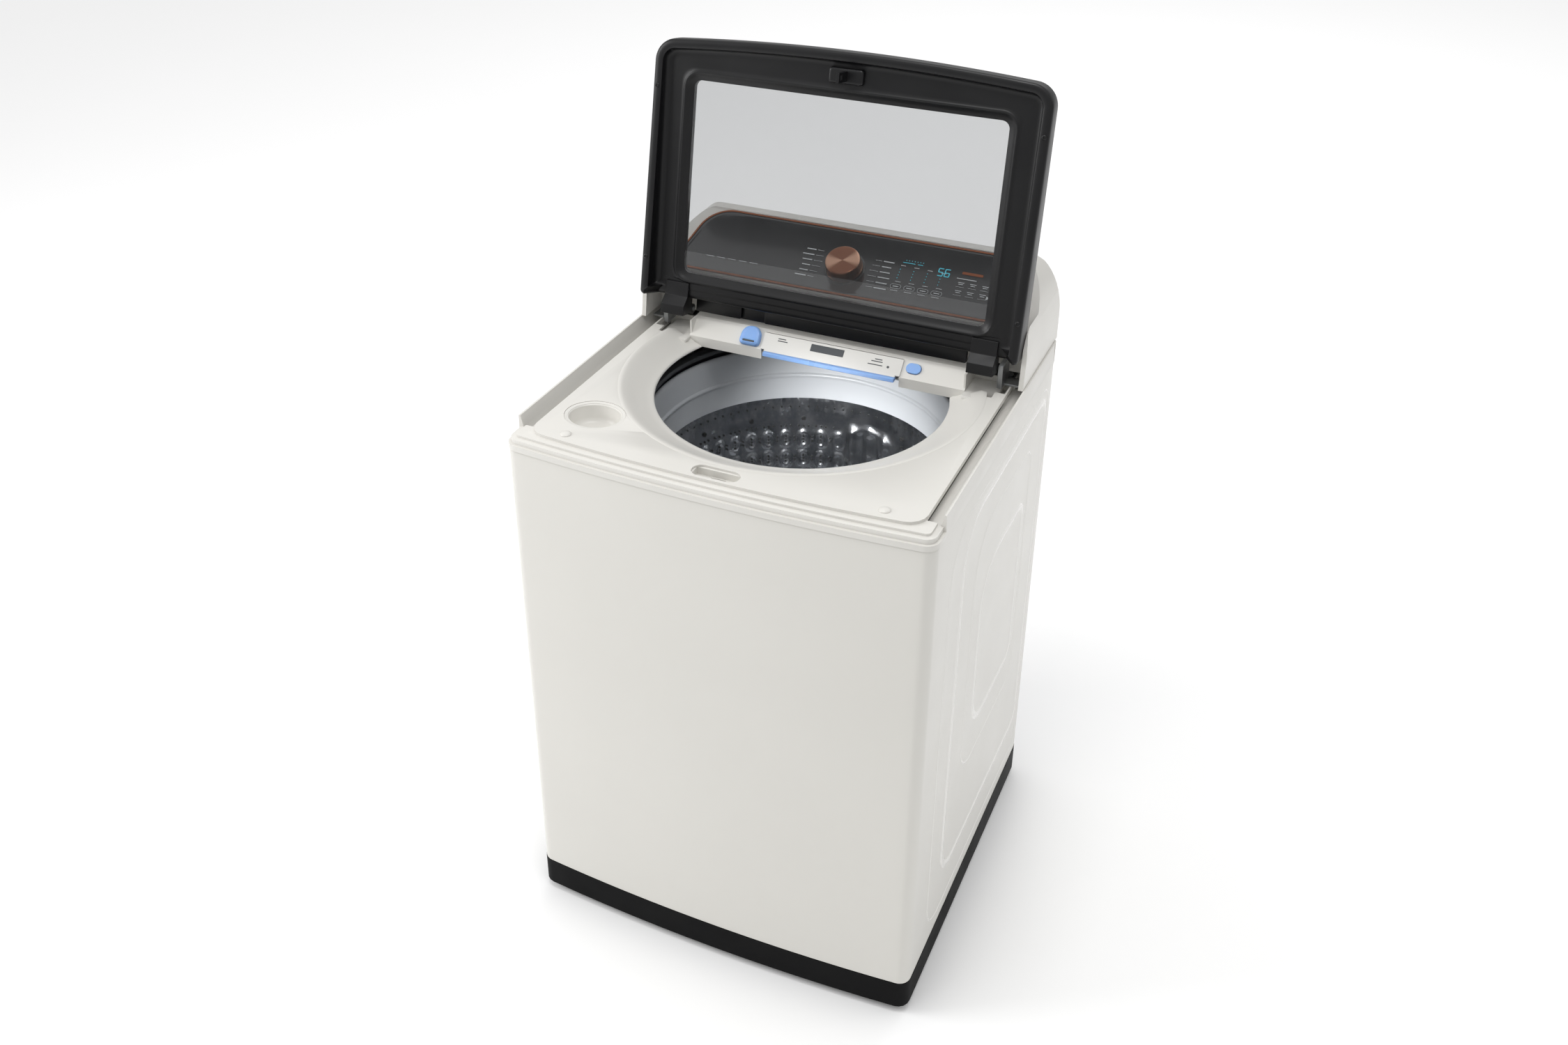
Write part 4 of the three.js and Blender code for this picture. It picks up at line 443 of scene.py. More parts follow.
def plated(name, colour, roughness):
    """Plated steel, cast metal or wound wire: one colour, its gloss broken by a bloom 6 mm across."""
    material, tree, shader, place = surface(name, colour, roughness, 1.0)
    mottled(tree, shader, place, 6, roughness - 0.08, roughness + 0.12)
    grain(tree, shader, place, 2, 0.01)
    return material


def galvanised():
    """Hot dip galvanised sheet: dull grey with spangles about 12 mm across."""
    material, tree, shader, place = surface("galvanised_sheet", "a0a2a3", 0.45, 0.85)
    cells = add(tree, "ShaderNodeTexVoronoi", inputs={"Vector": place, "Scale": 1 / (12 * MM)})
    mix = add(tree, "ShaderNodeMix", {"data_type": "RGBA"},
              {0: cells.outputs["Color"], 6: linear("94979a"), 7: linear("b0b2b3")})
    tree.links.new(mix.outputs[2], shader.inputs["Base Color"])
    grain(tree, shader, place, 3, 0.01)
    return material


def lit(name, colour, strength):
    """Printed mark lit from behind: a flat glow."""
    material, tree, shader, place = surface(name, colour, 0.4, IOR=1.49)
    shader.inputs["Emission Color"].default_value = linear(colour)
    shader.inputs["Emission Strength"].default_value = strength
    mottled(tree, shader, place, 20, 0.35, 0.45)
    return material


ENAMEL = enamel()
# Enamel on the pressed beads: painted paler than the panel as a painted highlight for the light the beads
# catch, and glossier.
ENAMEL_PAINTED_HIGHLIGHT = enamel("baked_enamel_painted_highlight", "e6e4e0", "e2e0db", 0.22)
# Off-white moulded plastics: a clear semi-gloss for the deck and console, a softer one for the drawer.
IVORY = moulded("ivory_abs", "dad8d3", "d5d3cd", 0.34, 1.4, 0.015, Coat_Weight=0.15, Coat_Roughness=0.25)
WHITE = moulded("white_abs", "d9d8d4", "d5d3ce", 0.38)
# Glass-filled plastic moulded black: soft broad highlights on the lid, almost none on the base trim.
SATIN = moulded("satin_black", "0b0b0d", "0e0e10", 0.38, 1.0, 0.02, Specular_IOR_Level=0.42)
MATT = moulded("matt_black", "050506", "070708", 0.6, 1.5, 0.02, Specular_IOR_Level=0.12)
PANEL = gloss_panel()
COPPER_SPUN = spun_copper()
COPPER_EDGE = copper_edge()
GLASS = clear_glass()
# Pale blue plastic that light enters a little, so its edges glow.
BLUE = moulded("blue_translucent", "8db4ea", "82aae4", 0.3, 2, 0.01, Subsurface_Weight=0.15)
# Polypropylene mouldings inside the opening: a dull splash ring, a silvery balance ring and impeller.
CHARCOAL = moulded("charcoal_pp", "26282b", "2c2e31", 0.48)
GREY = moulded("silver_grey_pp", "a9acaf", "a2a5a9", 0.36, 1.6, 0.02)
STAINLESS = stainless()
# The dark seen through a drain hole.
HOLE = moulded("hole_shadow", "08090a", "0b0c0d", 0.7)
ZINC = plated("zinc_plate", "9b9d9f", 0.38)
ALLOY = plated("cast_alloy", "a9abad", 0.5)
SHEET = galvanised()
COPPER_WIRE = plated("copper_windings", "9c5a34", 0.4)
# Rubber and board: dull, with a coarse skin.
RUBBER = moulded("black_rubber", "191919", "202020", 0.75, 1.5, 0.05)
BOARD = moulded("circuit_board", "1d5a37", "17492d", 0.5)
# Marks: white print and cyan light glow through the panel, and the drawer's are a dark print.
PRINT = lit("white_print", "c9ccce", 0.25)
CYAN = lit("cyan_light", "46b4c8", 0.7)
# The same dark material is painted shade in the spout's slot.
DARK_PRINT_AND_SHADE = moulded("dark_print_and_shade", "4a4d50", "44474a", 0.4)

# ------------------------------------------------------------------ camera, lights, floor


def camera():
    """Camera at the right front, above the machine."""
    data = bpy.data.cameras.new("camera")
    data.sensor_width = 36
    data.lens = 34.204
    data.shift_x = 0.01445
    data.shift_y = -0.0851
    data.clip_start, data.clip_end = 0.05, 30
    eye = bpy.data.objects.new("camera", data)
    eye.location = (0.8302, -1.9639, 2.0934)
    eye.rotation_euler = (math.radians(61.804), 0, math.radians(24.355))
    bpy.context.scene.collection.objects.link(eye)
    bpy.context.scene.camera = eye


def lamp(name, place, aim, size, watts, spread=180):
    """Soft square lamp at place, turned to aim; spread narrows its beam, in degrees."""
    data = bpy.data.lights.new(name, "AREA")
    data.size = size
    data.energy = watts
    data.spread = math.radians(spread)
    light = bpy.data.objects.new(name, data)
    light.visible_camera = False
    light.location = place
    light.rotation_euler = (Vector(aim) - Vector(place)).to_track_quat("-Z", "Y").to_euler()
    bpy.context.scene.collection.objects.link(light)


def studio():
    """Plain pale floor, a world that grows brighter upwards, and soft lamps.

    A camera ray sees the world at full strength, so the floor's far edge fades into it.
    """
    world = bpy.data.worlds.new("studio")
    world.use_nodes = True
    tree = world.node_tree
    place = add(tree, "ShaderNodeTexCoord").outputs["Generated"]
    up = add(tree, "ShaderNodeSeparateXYZ", inputs={0: place}).outputs["Z"]
    glow = add(tree, "ShaderNodeMapRange",
               inputs={"Value": up, "From Min": 0.0, "From Max": 1.0, "To Min": 0.33, "To Max": 1.15})
    seen = add(tree, "ShaderNodeLightPath").outputs["Is Camera Ray"]
    level = add(tree, "ShaderNodeMix", {"data_type": "FLOAT"}, {0: seen, 2: glow.outputs[0], 3: 1.0})
    tree.links.new(level.outputs[0], tree.nodes["Background"].inputs["Strength"])
    tree.nodes["Background"].inputs["Color"].default_value = linear("ffffff")
    bpy.context.scene.world = world
    bpy.context.scene.view_settings.view_transform = "Standard"
    material, tree, shader, place = surface("floor_paint", "fafafa", 0.9)
    mottled(tree, shader, place, 400, 0.85, 0.95)
    reach = 14.0
    corners = [(-reach, -reach, 0), (reach, -reach, 0), (reach, reach, 0), (-reach, reach, 0)]
    mesh = bpy.data.meshes.new("floor")
    mesh.from_pydata(corners, [], [(0, 1, 2, 3)])
    mesh.materials.append(material)
    floor = bpy.data.objects.new("floor", mesh)
    bpy.context.scene.collection.objects.link(floor)
    lamp("key", (-3.2, -1.6, 2.2), (-0.2, 0, 0.7), 1.6, 62)
    lamp("rim", (3.0, 1.6, 2.4), (0.3, 0, 0.6), 1.0, 5)
    lamp("drum", (-0.04, -0.16, 0.89), (0.03, 0.29, 0.69), 0.12, 0.75, 66)
    lamp("top", (0.1, -0.55, 2.9), (0, 0.05, 0.8), 0.5, 9)
    lamp("floor_wash", (0, 4.5, 4.5), (0, 2.5, 0), 4.0, 60)


camera()
studio()

# ------------------------------------------------------------------ cabinet

CABINET = dict(half=HALF, back=BACK, front=FRONT, bow=BOW, front_r=22, back_r=22)
SKIN_IN, SHEET_T, FLANGE_W = 1.4, 1.5, 30.0


def cabinet_skin():
    """Steel wrap: an outline strip from one rear flange round the front to the other.

    Each point of the path carries a section that goes up the outside and down the inside,
    with a 3 mm roll at the top edge.
    """
    flange = HALF - FLANGE_W
    points = 4 * CORNER_STEPS + 2 * SIDE_STEPS + FRONT_STEPS
    outer, inner = (
        np.vstack([[flange, BACK - inset], bowed(**CABINET, inset=inset)[:points], [-flange, BACK - inset]])
        for inset in (SKIN_IN, SKIN_IN + SHEET_T))
    low, high = TRIM_TOP + 0.3, SEAM_Z
    wall = np.linspace(low, high - 3, 12)
    shares = [0] * len(wall) + [0.21, 0.6, 1, 1]
    heights = [*wall, high - 1.2, high - 0.2, high - 0.2, low]
    grid = levels([outer * (1 - w) + inner * w for w in shares], heights).transpose(1, 0, 2)
    piece = solid("cabinet_skin", "cabinet", ENAMEL, grid)
    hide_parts("cabinet_wrap")


def side_ribs():
    """Pressed beads on the side panels: rounded outlines swept with a raised-cosine section."""
    # Each bead: front and rear ends, lower and upper lines, width, height.
    beads = {"outer_line": (-230, 298, 96, 894, 4, 0.7), "outer": (-166, 288, 166, 874, 15, 1.35),
             "inner_line": (-92, 214, 330, 816, 4, 0.7), "inner": (-44, 188, 396, 722, 14, 1.35)}
    s = np.linspace(-1, 1, 11)
    for name, (y0, y1, z0, z1, wide, tall) in beads.items():
        outline = rounded([(y0, z0, 60), (y1, z0, 30), (y1, z1, 34), (y0, z1, 90)], 14, 14)
        along = np.roll(outline, -1, 0) - np.roll(outline, 1, 0)
        along /= np.linalg.norm(along, axis=1)[:, None]
        crown = np.stack([s * wide / 2, tall * (0.5 + 0.5 * np.cos(math.pi * s)) - 0.02], -1)
        section = np.vstack([crown, [[wide / 2, -1.0], [-wide / 2, -1.0]]])
        n = len(outline)
        across = np.column_stack([np.zeros(n), -along[:, 1], along[:, 0]])
        for side, sign in SIDES:
            path = np.column_stack([np.full(n, sign * (HALF - SKIN_IN)), outline])
            out = np.tile([sign, 0, 0], (n, 1))
            grid = swept(path, section, across, out)
            # The beads' paler enamel is a painted highlight.
            solid(f"side_rib_{name}_{side}", "cabinet", ENAMEL_PAINTED_HIGHLIGHT, grid, wrap_rows=True, sharp=60)


cabinet_skin()
side_ribs()
eased("base_frame", "cabinet", MATT, 1.2, angle=40)
eased("back_panel", "cabinet", SHEET, 0.3)
for corner in ("front_left", "front_right", "rear_left", "rear_right"):
    eased(f"leveling_foot_{corner}", f"foot_{corner}", RUBBER, 0.8)

# ------------------------------------------------------------------ top cover

eased("top_cover", "cabinet", IVORY, 1.6, 3, 28)

DISH_DEPTH, DISH_RUN, LINER_T = 23.0, 57.0, 1.4


def dish_liner():
    """Smooth dish round the opening: a profile turned about the drum's axis, cut off at the sloped wall.

    Angle runs from one end of the wall round the front to the other; the section goes from under
    the lip round its 2 mm edge, up an S-shaped slope and back under. Points [out, up] are taken
    from the opening's edge and from the dish's foot.
    """
    stop = math.asin((SLOPE_FOOT - TUB_Y) / (OPENING_R + 1)) - 0.02
    a = np.linspace(stop, -math.pi - stop, 181)
    top = np.array([(-1.6, -3.0), (-1.4, -1.2), (-0.6, 0.2), (1.5, 1.0), (5, 1.9), (10, 3.3), (16, 6.0),
                    (22, 8.8), (28, 11.5), (34, 14.6), (40, 17.9), (46, 20.9), (50, 22.5), (53, 23.15),
                    (55.5, 23.3), (DISH_RUN, 23.2)])
    under = np.array([(DISH_RUN, 21.6), (50, 20.5), (34, 12.2), (16, 3.6), (5, -3.6), (0, -4.4)])
    section = np.concatenate([top, under])[:, 0]
    foot = PLATFORM_Z - DISH_DEPTH
    y_room = np.where(np.sin(a) > 0.02, (SLOPE_FOOT - TUB_Y) / np.maximum(np.sin(a), 0.02), 1e3)
    reach = np.minimum(OPENING_R + section[None, :], np.maximum(y_room, OPENING_R + 0.4)[:, None])
    z_top = foot + np.interp(reach[:, :len(top)] - OPENING_R, top[:, 0], top[:, 1])
    z_under = np.minimum(foot + under[:, 1], z_top[:, -1:] - LINER_T)
    z = np.concatenate([z_top, z_under], 1)
    grid = np.stack([reach * np.cos(a)[:, None], TUB_Y + reach * np.sin(a)[:, None], z], -1)
    solid("dish_liner", "cabinet", IVORY, grid, sharp=50)


def pocket_floors():
    """Floor under each hinge arm: rectangle outlines stacked up, the upper ones smaller."""
    heights = [938, POCKET_Z - 1.4, POCKET_Z - 0.4, POCKET_Z]
    for side, sign in SIDES:
        rings = [rectangle(27 - d, 36 - d, 4, sign * POCKET_X, POCKET_Y, 5) for d in (0, 0, 0.4, 1.4)]
        solid(f"pocket_floor_{side}", "cabinet", IVORY, levels(rings, heights))


dish_liner()
pocket_floors()
eased("lid_lock_housing", "cabinet", IVORY, 0.8)
eased("lid_lock_bolt", "bolt", ZINC, 0.6)


def lid_bumpers():
    """Low domes with a flat foot: circles whose radius and height follow a quarter circle."""
    r, lift = 9.0, 3.2
    a = np.radians(np.linspace(0, 86, 9))
    profile = [(r, PLATFORM_Z + 0.05), *zip(r * np.cos(a), PLATFORM_Z + 0.3 + lift * np.sin(a))]
    for side, sign in SIDES:
        rings = turned(profile, 32, sign * 260, FRONT + 54).transpose(1, 0, 2)
        piece = solid(f"lid_bumper_{side}_dome", "cabinet", IVORY, rings)
        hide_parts(f"lid_bumper_{side}")


lid_bumpers()


def bleach_cup():
    """Oval cup with a shallow rim dish and a rounded bottom; a small drain ring in the floor.

    Each row is an ellipse, grown by the first number and lifted by the second.
    """
    top = PLATFORM_Z - 0.9
    rows = [(8.0, -0.3), (7.4, 0.25), (6.0, 0.2), (2.5, -1.0), (0.6, -2.6), (0.0, -5.0), (-3.0, -22.0),
            (-6.0, -27.5), (-11.0, -30.4), (-20.0, -31.6), (-33.0, -32.0)]
    under = [(-33.0, -33.8), (-20.0, -33.6), (-9.0, -32.4), (-3.0, -29.0), (1.4, -22.0), (2.0, -2.0),
             (8.0, -1.3)]
    a = np.arange(72) / 72 * TAU
    rings = [np.column_stack([CUP_X + (CUP_RX + d) * np.cos(a), CUP_Y + (CUP_RY + d) * np.sin(a)])
             for d, _ in rows + under]
    grid = levels(rings, [top + z for _, z in rows + under])
    piece = solid("bleach_cup_shell", "cabinet", IVORY, grid, wrap_rows=True)
    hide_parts("bleach_cup")
    drain = [(2.2, top - 31.95), (4.0, top - 31.9), (4.0, top - 31.5), (2.2, top - 31.5)]
    solid("bleach_drain_rim", "cabinet", DARK_PRINT_AND_SHADE, turned(drain, 24, CUP_X + 6, CUP_Y + 10), wrap_rows=True)


bleach_cup()

# ------------------------------------------------------------------ lid

LID = dict(half=LID_HALF, back=LID_BACK, front=LID_FRONT, bow=LID_BOW, front_r=LID_CORNER_R, back_r=8)


def rim_height(y):
    """Lower edge of the shut lid: level at its front corners, then straight down to the rear."""
    share = np.clip((y - (LID_FRONT + LID_CORNER_R)) / (LID_BACK - LID_FRONT - LID_CORNER_R), 0, 1)
    return LID_RIM_Z + (LID_RIM_REAR_Z - LID_RIM_Z) * share


def lid_panel():
    """Frame of the lid as one ring: rows go from the window's step out over the face, up the
    raised rim, round the outer edge, back over the top skin and down to the glass.

    Outer rows are bowed outlines, moved in by an inset. The window's rows are rounded rectangles, grown
    by a margin, with the same number of points, taken at the same angles seen from the window's middle.
    """
    centre = np.array([0, (WINDOW_BACK + WINDOW_FRONT) / 2])

    def outline(inset):
        return bowed(**LID, inset=inset, corner=14, side=40, width=70)

    reference = outline(0)
    angle = np.arctan2(*(reference - centre).T[::-1])

    def window(grow, r):
        half = np.array([WINDOW_HALF + grow, (WINDOW_BACK - WINDOW_FRONT) / 2 + grow])
        fine = rectangle(half[0], half[1], r, steps=24, side_steps=60)
        fine_angle = np.arctan2(fine[:, 1], fine[:, 0])
        order = np.argsort(fine_angle)
        x = np.interp(angle, fine_angle[order], fine[order, 0], period=TAU)
        y = np.interp(angle, fine_angle[order], fine[order, 1], period=TAU)
        return np.column_stack([x, y]) + centre

    # The rear edge has no rim between its corners.
    rear = np.clip(reference[:, 1] - (LID_BACK - 1), 0, 1) * (np.abs(reference[:, 0]) < LID_HALF - 12)
    face = LID_FRAME_Z
    rim_z = rim_height(reference[:, 1]) * (1 - rear) + (face + 0.6) * rear
    depth = face - rim_z

    def between(near, far, shares, height):
        return [(near * (1 - t) + far * t, height) for t in shares]

    step = [(-0.4, 13, GLASS_Z - 0.4), (0.3, 14, GLASS_Z - 0.8), (3.0, 16, face + 4.4), (6.5, 19, face + 2.6),
            (9.5, 22, face + 0.9), (11.5, 24, face - 0.9), (13.0, 25.5, face - 1.6), (14.5, 27, face - 1.6),
            (15.8, 28, face - 0.9), (17.0, 29, face)]
    edge = [(33, face), (27, face + 0.4), (22, face), (19.5, face - depth * 0.08), (18, face - depth * 0.18),
            (16.8, face - depth * 0.34), (15.9, face - depth * 0.6), (15.2, rim_z + 1.0 * (depth > 2)),
            (13.6, rim_z + 0.1), (8, rim_z), (4.5, rim_z + 0.3), (2, rim_z + 1.4), (0.6, rim_z + 3.4),
            (0, rim_z + 7), (0, LID_TOP - 5), (0.8, LID_TOP - 2.2), (2.4, LID_TOP - 0.6), (5, LID_TOP)]
    top = [(4, 17, LID_TOP), (1.4, 15, LID_TOP - 0.6), (0.2, 14, LID_TOP - 2.0),
           (-0.4, 13, GLASS_Z + GLASS_T + 0.4)]
    rows = [(window(grow, r), z) for grow, r, z in step]
    rows += between(window(17.0, 29), outline(33), (0.25, 0.5, 0.75), face)
    rows += [(outline(inset), z) for inset, z in edge]
    rows += between(outline(5), window(4, 17), (0.35, 0.7), LID_TOP)
    rows += [(window(grow, r), z) for grow, r, z in top]
    grid = opened(levels(*zip(*rows)))
    piece = solid("lid_panel", "lid", SATIN, grid, wrap_rows=True, sharp=50)
    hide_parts("lid_frame_inner", "lid_frame_outer")


def lid_flap():
    """Thin strip along the lid's rear edge with rounded ends, and a bulge of it over the spout."""
    y0, y1, half = LID_BACK - 6, HINGE_Y, 245
    gap0, gap1 = NOZZLE_X - 22, NOZZLE_X + 22
    strips = {"left": (-half, gap0, 6), "right": (gap1, half, 6), "middle": (gap0 - 4, gap1 + 4, 2)}
    for name, (x0, x1, low) in strips.items():
        cx, cy = (x0 + x1) / 2, (y0 + y1) / 2
        rings = [rectangle((x1 - x0) / 2 - d, (y1 - y0) / 2 - d, 3, cx, cy, 5) for d in (0.8, 0, 0, 0.8)]
        grid = levels(rings, [LID_TOP - low, LID_TOP - low + 0.6, LID_TOP - 0.9, LID_TOP - 0.1])
        solid(f"lid_flap_{name}", "lid", SATIN, opened(grid))


def lid_screws():
    """Cross-head screws in the side rims: a dome with a shallow socket, turned about its axis."""
    head = [(4.2, 0.5), (4.2, -0.4), (3.6, -1.1), (2.4, -1.5), (1.7, -1.5), (1.2, -0.7), (0.4, -0.6)]
    grids = []
    for x in (-329, 329):
        for y in (HINGE_Y - 91, HINGE_Y - 382):
            z = rim_height(y)
            grids.append(opened(turned([(r, z + h) for r, h in head], 20, x, y).transpose(1, 0, 2)))
    solid("lid_screws", "lid", SATIN, grids)


def lid_latch_seat():
    """Raised block round the strike: rounded rectangles that shrink towards its face."""
    rows = [(30, 13, 5, 0.5), (29.4, 12.4, 5, -5.5), (28.6, 11.6, 5, -7.0), (27, 10, 4, -7.8),
            (25, 8, 3, -8.0)]
    rings = [rectangle(half_x, half_y, r, 0, LATCH_Y, 8) for half_x, half_y, r, _ in rows]
    grid = levels(rings, [LID_FRAME_Z + lift for *_, lift in rows])
    solid("lid_latch_seat", "lid", SATIN, opened(grid))


lid_panel()
lid_flap()
lid_screws()
lid_latch_seat()
eased("lid_strike", "lid", SATIN, 0.8)
eased("lid_glass", "lid", GLASS, 0.8)
for side, _ in SIDES:
    eased(f"hinge_arm_{side}", "lid", SATIN, 1.6, 3)
    eased(f"hinge_bracket_{side}", "cabinet", ZINC, 0.6)

# ------------------------------------------------------------------ console

eased("console_housing", "cabinet", IVORY, 2.2, 3, 26)
eased("console_trim", "cabinet", COPPER_EDGE, 0.5, 2, 40)


def fascia_outline(grow):
    """Outline of the control panel in its own plane, moved outwards by grow."""
    base, top, low = FASCIA_BASE_HALF + grow, FASCIA_TOP_HALF + grow, -FASCIA_LEN - grow
    base_r, top_r = 12, 55 + grow
    return rounded([(-base, low, base_r), (base, low, base_r), (top, grow, top_r), (-top, grow, top_r)], 14)


def fascia():
    """Control panel: flat sheet with softened edges and a sunk border line."""
    rings = [fascia_outline(grow) for grow in (0, 0, -0.7, -5, -6.2)]
    grid = levels(rings, [-3.0, -0.7, 0.0, 0.0, -0.5])
    piece = solid("fascia_panel", "cabinet", PANEL, on_fascia(grid))
    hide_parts("console_fascia")


def knob():
    """Turned knob: a skirt, a slightly tapered wall with fine flutes, a chamfer and a shallow dished top.

    Each row is a circle [radius, height, share of the flutes]; the flutes' depth is a raised cosine of
    the angle.
    """
    a = np.arange(144) / 144 * TAU
    flute = 0.25 * (0.5 + 0.5 * np.cos(a * 72))
    r, h = KNOB_R, KNOB_H
    rows = [(r - 0.8, 2.0, 0), (r, 2.6, 0), (r, 4.6, 0), (r - 0.6, 5.4, 0), (r - 0.8, 6.2, 1),
            (r - 1.5, h - 2.6, 1), (r - 1.9, h - 1.4, 0), (r - 3.2, h - 0.2, 0), (r - 4.2, h, 0),
            (r - 9, h - 0.25, 0), (12, h - 0.55, 0), (1, h - 0.6, 0)]
    reach = np.array([radius - flute * share for radius, _, share in rows])
    rings = np.stack([KNOB_X + reach * np.cos(a), -KNOB_DOWN + reach * np.sin(a)], -1)
    grid = levels(rings, [z for _, z, _ in rows])
    piece = solid("cycle_knob_turned", "knob", COPPER_SPUN, on_fascia(grid), sharp=40)
    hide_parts("cycle_knob")


fascia()
knob()
eased("knob_ring", "cabinet", PANEL, 0.4)


MARK_Z, MARK_T = 0.05, 0.25


def flat_marks(name, material, outlines):
    """Thin printed or lit marks on the fascia: each outline is a low slab."""
    heights = [MARK_Z, MARK_Z + MARK_T]
    solid(name, "cabinet", material, [on_fascia(levels([o, o], heights)) for o in outlines])


def bar(x, y, w, h=1.2, r=0.5):
    """Rounded bar centred at (x, y) in the fascia's plane."""
    return rectangle(w / 2, h / 2, min(r, h / 2 - 0.01, w / 2 - 0.01), x, y, 3)


def dot(x, y):
    """Round dot 1.5 across."""
    return rectangle(0.75, 0.75, 0.7, x, y, 3)


def key_outline(x, y, w, h, r, line):
    """Outline of a touch key: a rounded rectangle drawn by a thin line."""
    outer = rectangle(w / 2, h / 2, r, x, y, 5)
    inner = rectangle(w / 2 - line, h / 2 - line, r - line, x, y, 5)
    high = MARK_Z + MARK_T
    return on_fascia(levels([outer, outer, inner, inner], [MARK_Z, high, high, MARK_Z]))


def cycle_marks():
    """Programme marks left and right of the knob: a short bar for each, and a tick towards the knob."""
    lengths = {-1: (17, 21, 18, 15, 16, 20), 1: (19, 17, 18, 21, 20, 22)}
    pitch, first = 11.2, -50
    marks, ticks = [], []
    for side, row in lengths.items():
        near = KNOB_X + side * 62
        for i, long in enumerate(row):
            y = first - i * pitch
            start, end = KNOB_X + side * (42 + abs(i - 2.5) * 2.2), near - side * 3
            marks.append(bar(near + side * long / 2, y, long, 1.9))
            ticks.append(bar((start + end) / 2, y, abs(end - start), 0.55, 0.2))
    flat_marks("cycle_bars", PRINT, marks)
    flat_marks("cycle_ticks", PRINT, ticks)


SEGMENTS = {5: "afgcd", 6: "afgedc"}


def digits():
    """Two seven-segment digits on the display."""
    bars = []
    w, h, t = 8.0, 15.0, 1.7
    places = {"a": (0, h / 2, w, t), "g": (0, 0, w, t), "d": (0, -h / 2, w, t),
              "f": (-w / 2, h / 4, t, h / 2), "e": (-w / 2, -h / 4, t, h / 2), "c": (w / 2, -h / 4, t, h / 2)}
    for k, digit in enumerate((5, 6)):
        for key in SEGMENTS[digit]:
            x, y, wide, high = places[key]
            bars.append(bar(158 + k * 11.5 + x, -52 + y, wide, high, 0.7))
    return bars


def display():
    """Lit digits, four columns of level dots, outlined touch keys and their small bars."""
    dots, bars, frames = [], [], []
    for k in range(4):
        x = 92 + k * 24
        bars.append(bar(x, -52 - k * 0.6, 9, 1.1))
        dots += [dot(x - 3, -60 - i * 6.2) for i in range(4)]
        bars.append(bar(x + 1, -86, 10, 1.1))
        frames.append(key_outline(x, -96, 19, 9, 4, 0.5))
        bars.append(bar(x, -96, 10, 1.6))
        bars.append(bar(x, -104.5, 13, 0.9))
    for k in range(3):
        for row in range(2):
            x, y = 198 + k * 21, -66 - row * 17
            bars += [bar(x, y, 11, 1.3), bar(x, y - 3.5, 8, 1.3), bar(x, y - 9, 14, 0.45, 0.2)]
    bars.append(bar(205, -58, 34, 1.5))
    dots += [dot(94 + k * 5, -40) for k in range(7)]
    dots += [bar(100, -45, 22, 1.1), bar(120, -45, 9, 1.1)]
    flat_marks("lit_digits", CYAN, digits())
    flat_marks("lit_dots", CYAN, dots)
    flat_marks("key_bars", PRINT, bars)
    solid("key_outlines", "cabinet", PRINT, frames, wrap_rows=True)
    flat_marks("copper_bar", COPPER_EDGE, [bar(212, -46, 36, 5.2, 1.2)])
    flat_marks("start_mark", PRINT, [np.array([(247.0, -84.0), (247.0, -92.0), (253.5, -88.0)])])
    flat_marks("small_line", PRINT, [bar(-252 + k * 21, -101, 15, 0.8) for k in range(5)])


cycle_marks()
display()

# ------------------------------------------------------------------ dispenser

eased("dispenser_housing", "cabinet", IVORY, 0.8)
eased("drawer_front", "drawer", WHITE, 0.9, 3)
eased("drawer_grip", "drawer", BLUE, 1.2, 3)
eased("drawer_tray", "drawer", WHITE, 0.8)
eased("waterjet_button", "button", BLUE, 1.4, 3)


def slope_marks(name, body, material, outlines, z):
    """Thin marks on the sloped wall: each outline is a low slab."""
    solid(name, body, material, [on_slope(levels([o, o], [z, z + MARK_T])) for o in outlines])


def nozzle():
    """Spout: a rounded body that narrows towards its face, a lip across it and a dark slab of painted shade
    for the slot in the lip.
    """
    rows = [(0, 0.4), (0, 4.5), (-0.6, 6.6), (-2.0, 8.2), (-4.0, 8.9), (-9.0, 9.0)]
    rings = []
    for grow, _ in rows:
        base, top, low, high = 19 + grow, 17.5 + grow, -17 - grow, 18 + grow
        r, top_r = max(8 + grow, 1), 17 + grow
        rings.append(rounded([(NOZZLE_X - base, low, r), (NOZZLE_X + base, low, r),
                              (NOZZLE_X + top, high, top_r), (NOZZLE_X - top, high, top_r)], 10))
    grid = levels(rings, [z for _, z in rows])
    piece = solid("spout_body", "cabinet", BLUE, on_slope(grid), sharp=50)
    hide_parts("waterjet_nozzle")
    lip_y = -10.5
    lip = [rectangle(13 - d, 3.6 - d, 3.4 - d, NOZZLE_X, lip_y, 8) for d in (0, 0, 1.0, 1.4)]
    solid("spout_lip", "cabinet", BLUE, on_slope(levels(lip, [8.0, 9.6, 9.9, 9.2])))
    # The slot is not cut: a thin dark slab on the lip is painted shade for its opening.
    slope_marks("spout_slot_shade", "cabinet", DARK_PRINT_AND_SHADE, [rectangle(11, 1.7, 1.6, NOZZLE_X, lip_y, 6)], 9.1)


DRAWER_LAP, DRAWER_FACE = 7.5, 2.97


def drawer_flange():
    """Overlay front: a slab with rounded edges that covers the gap round the drawer."""
    half_x, half_y = DRAWER_HALF + DRAWER_LAP, (DRAWER_UP - DRAWER_DOWN) / 2
    y = (DRAWER_UP + DRAWER_DOWN) / 2
    rings = [rectangle(half_x - d, half_y - d, 2, DRAWER_X, y, 5) for d in (0, 0, 0.3, 1.0)]
    solid("drawer_flange", "drawer", WHITE, on_slope(levels(rings, [0.35, 2.3, 2.75, 2.95])))


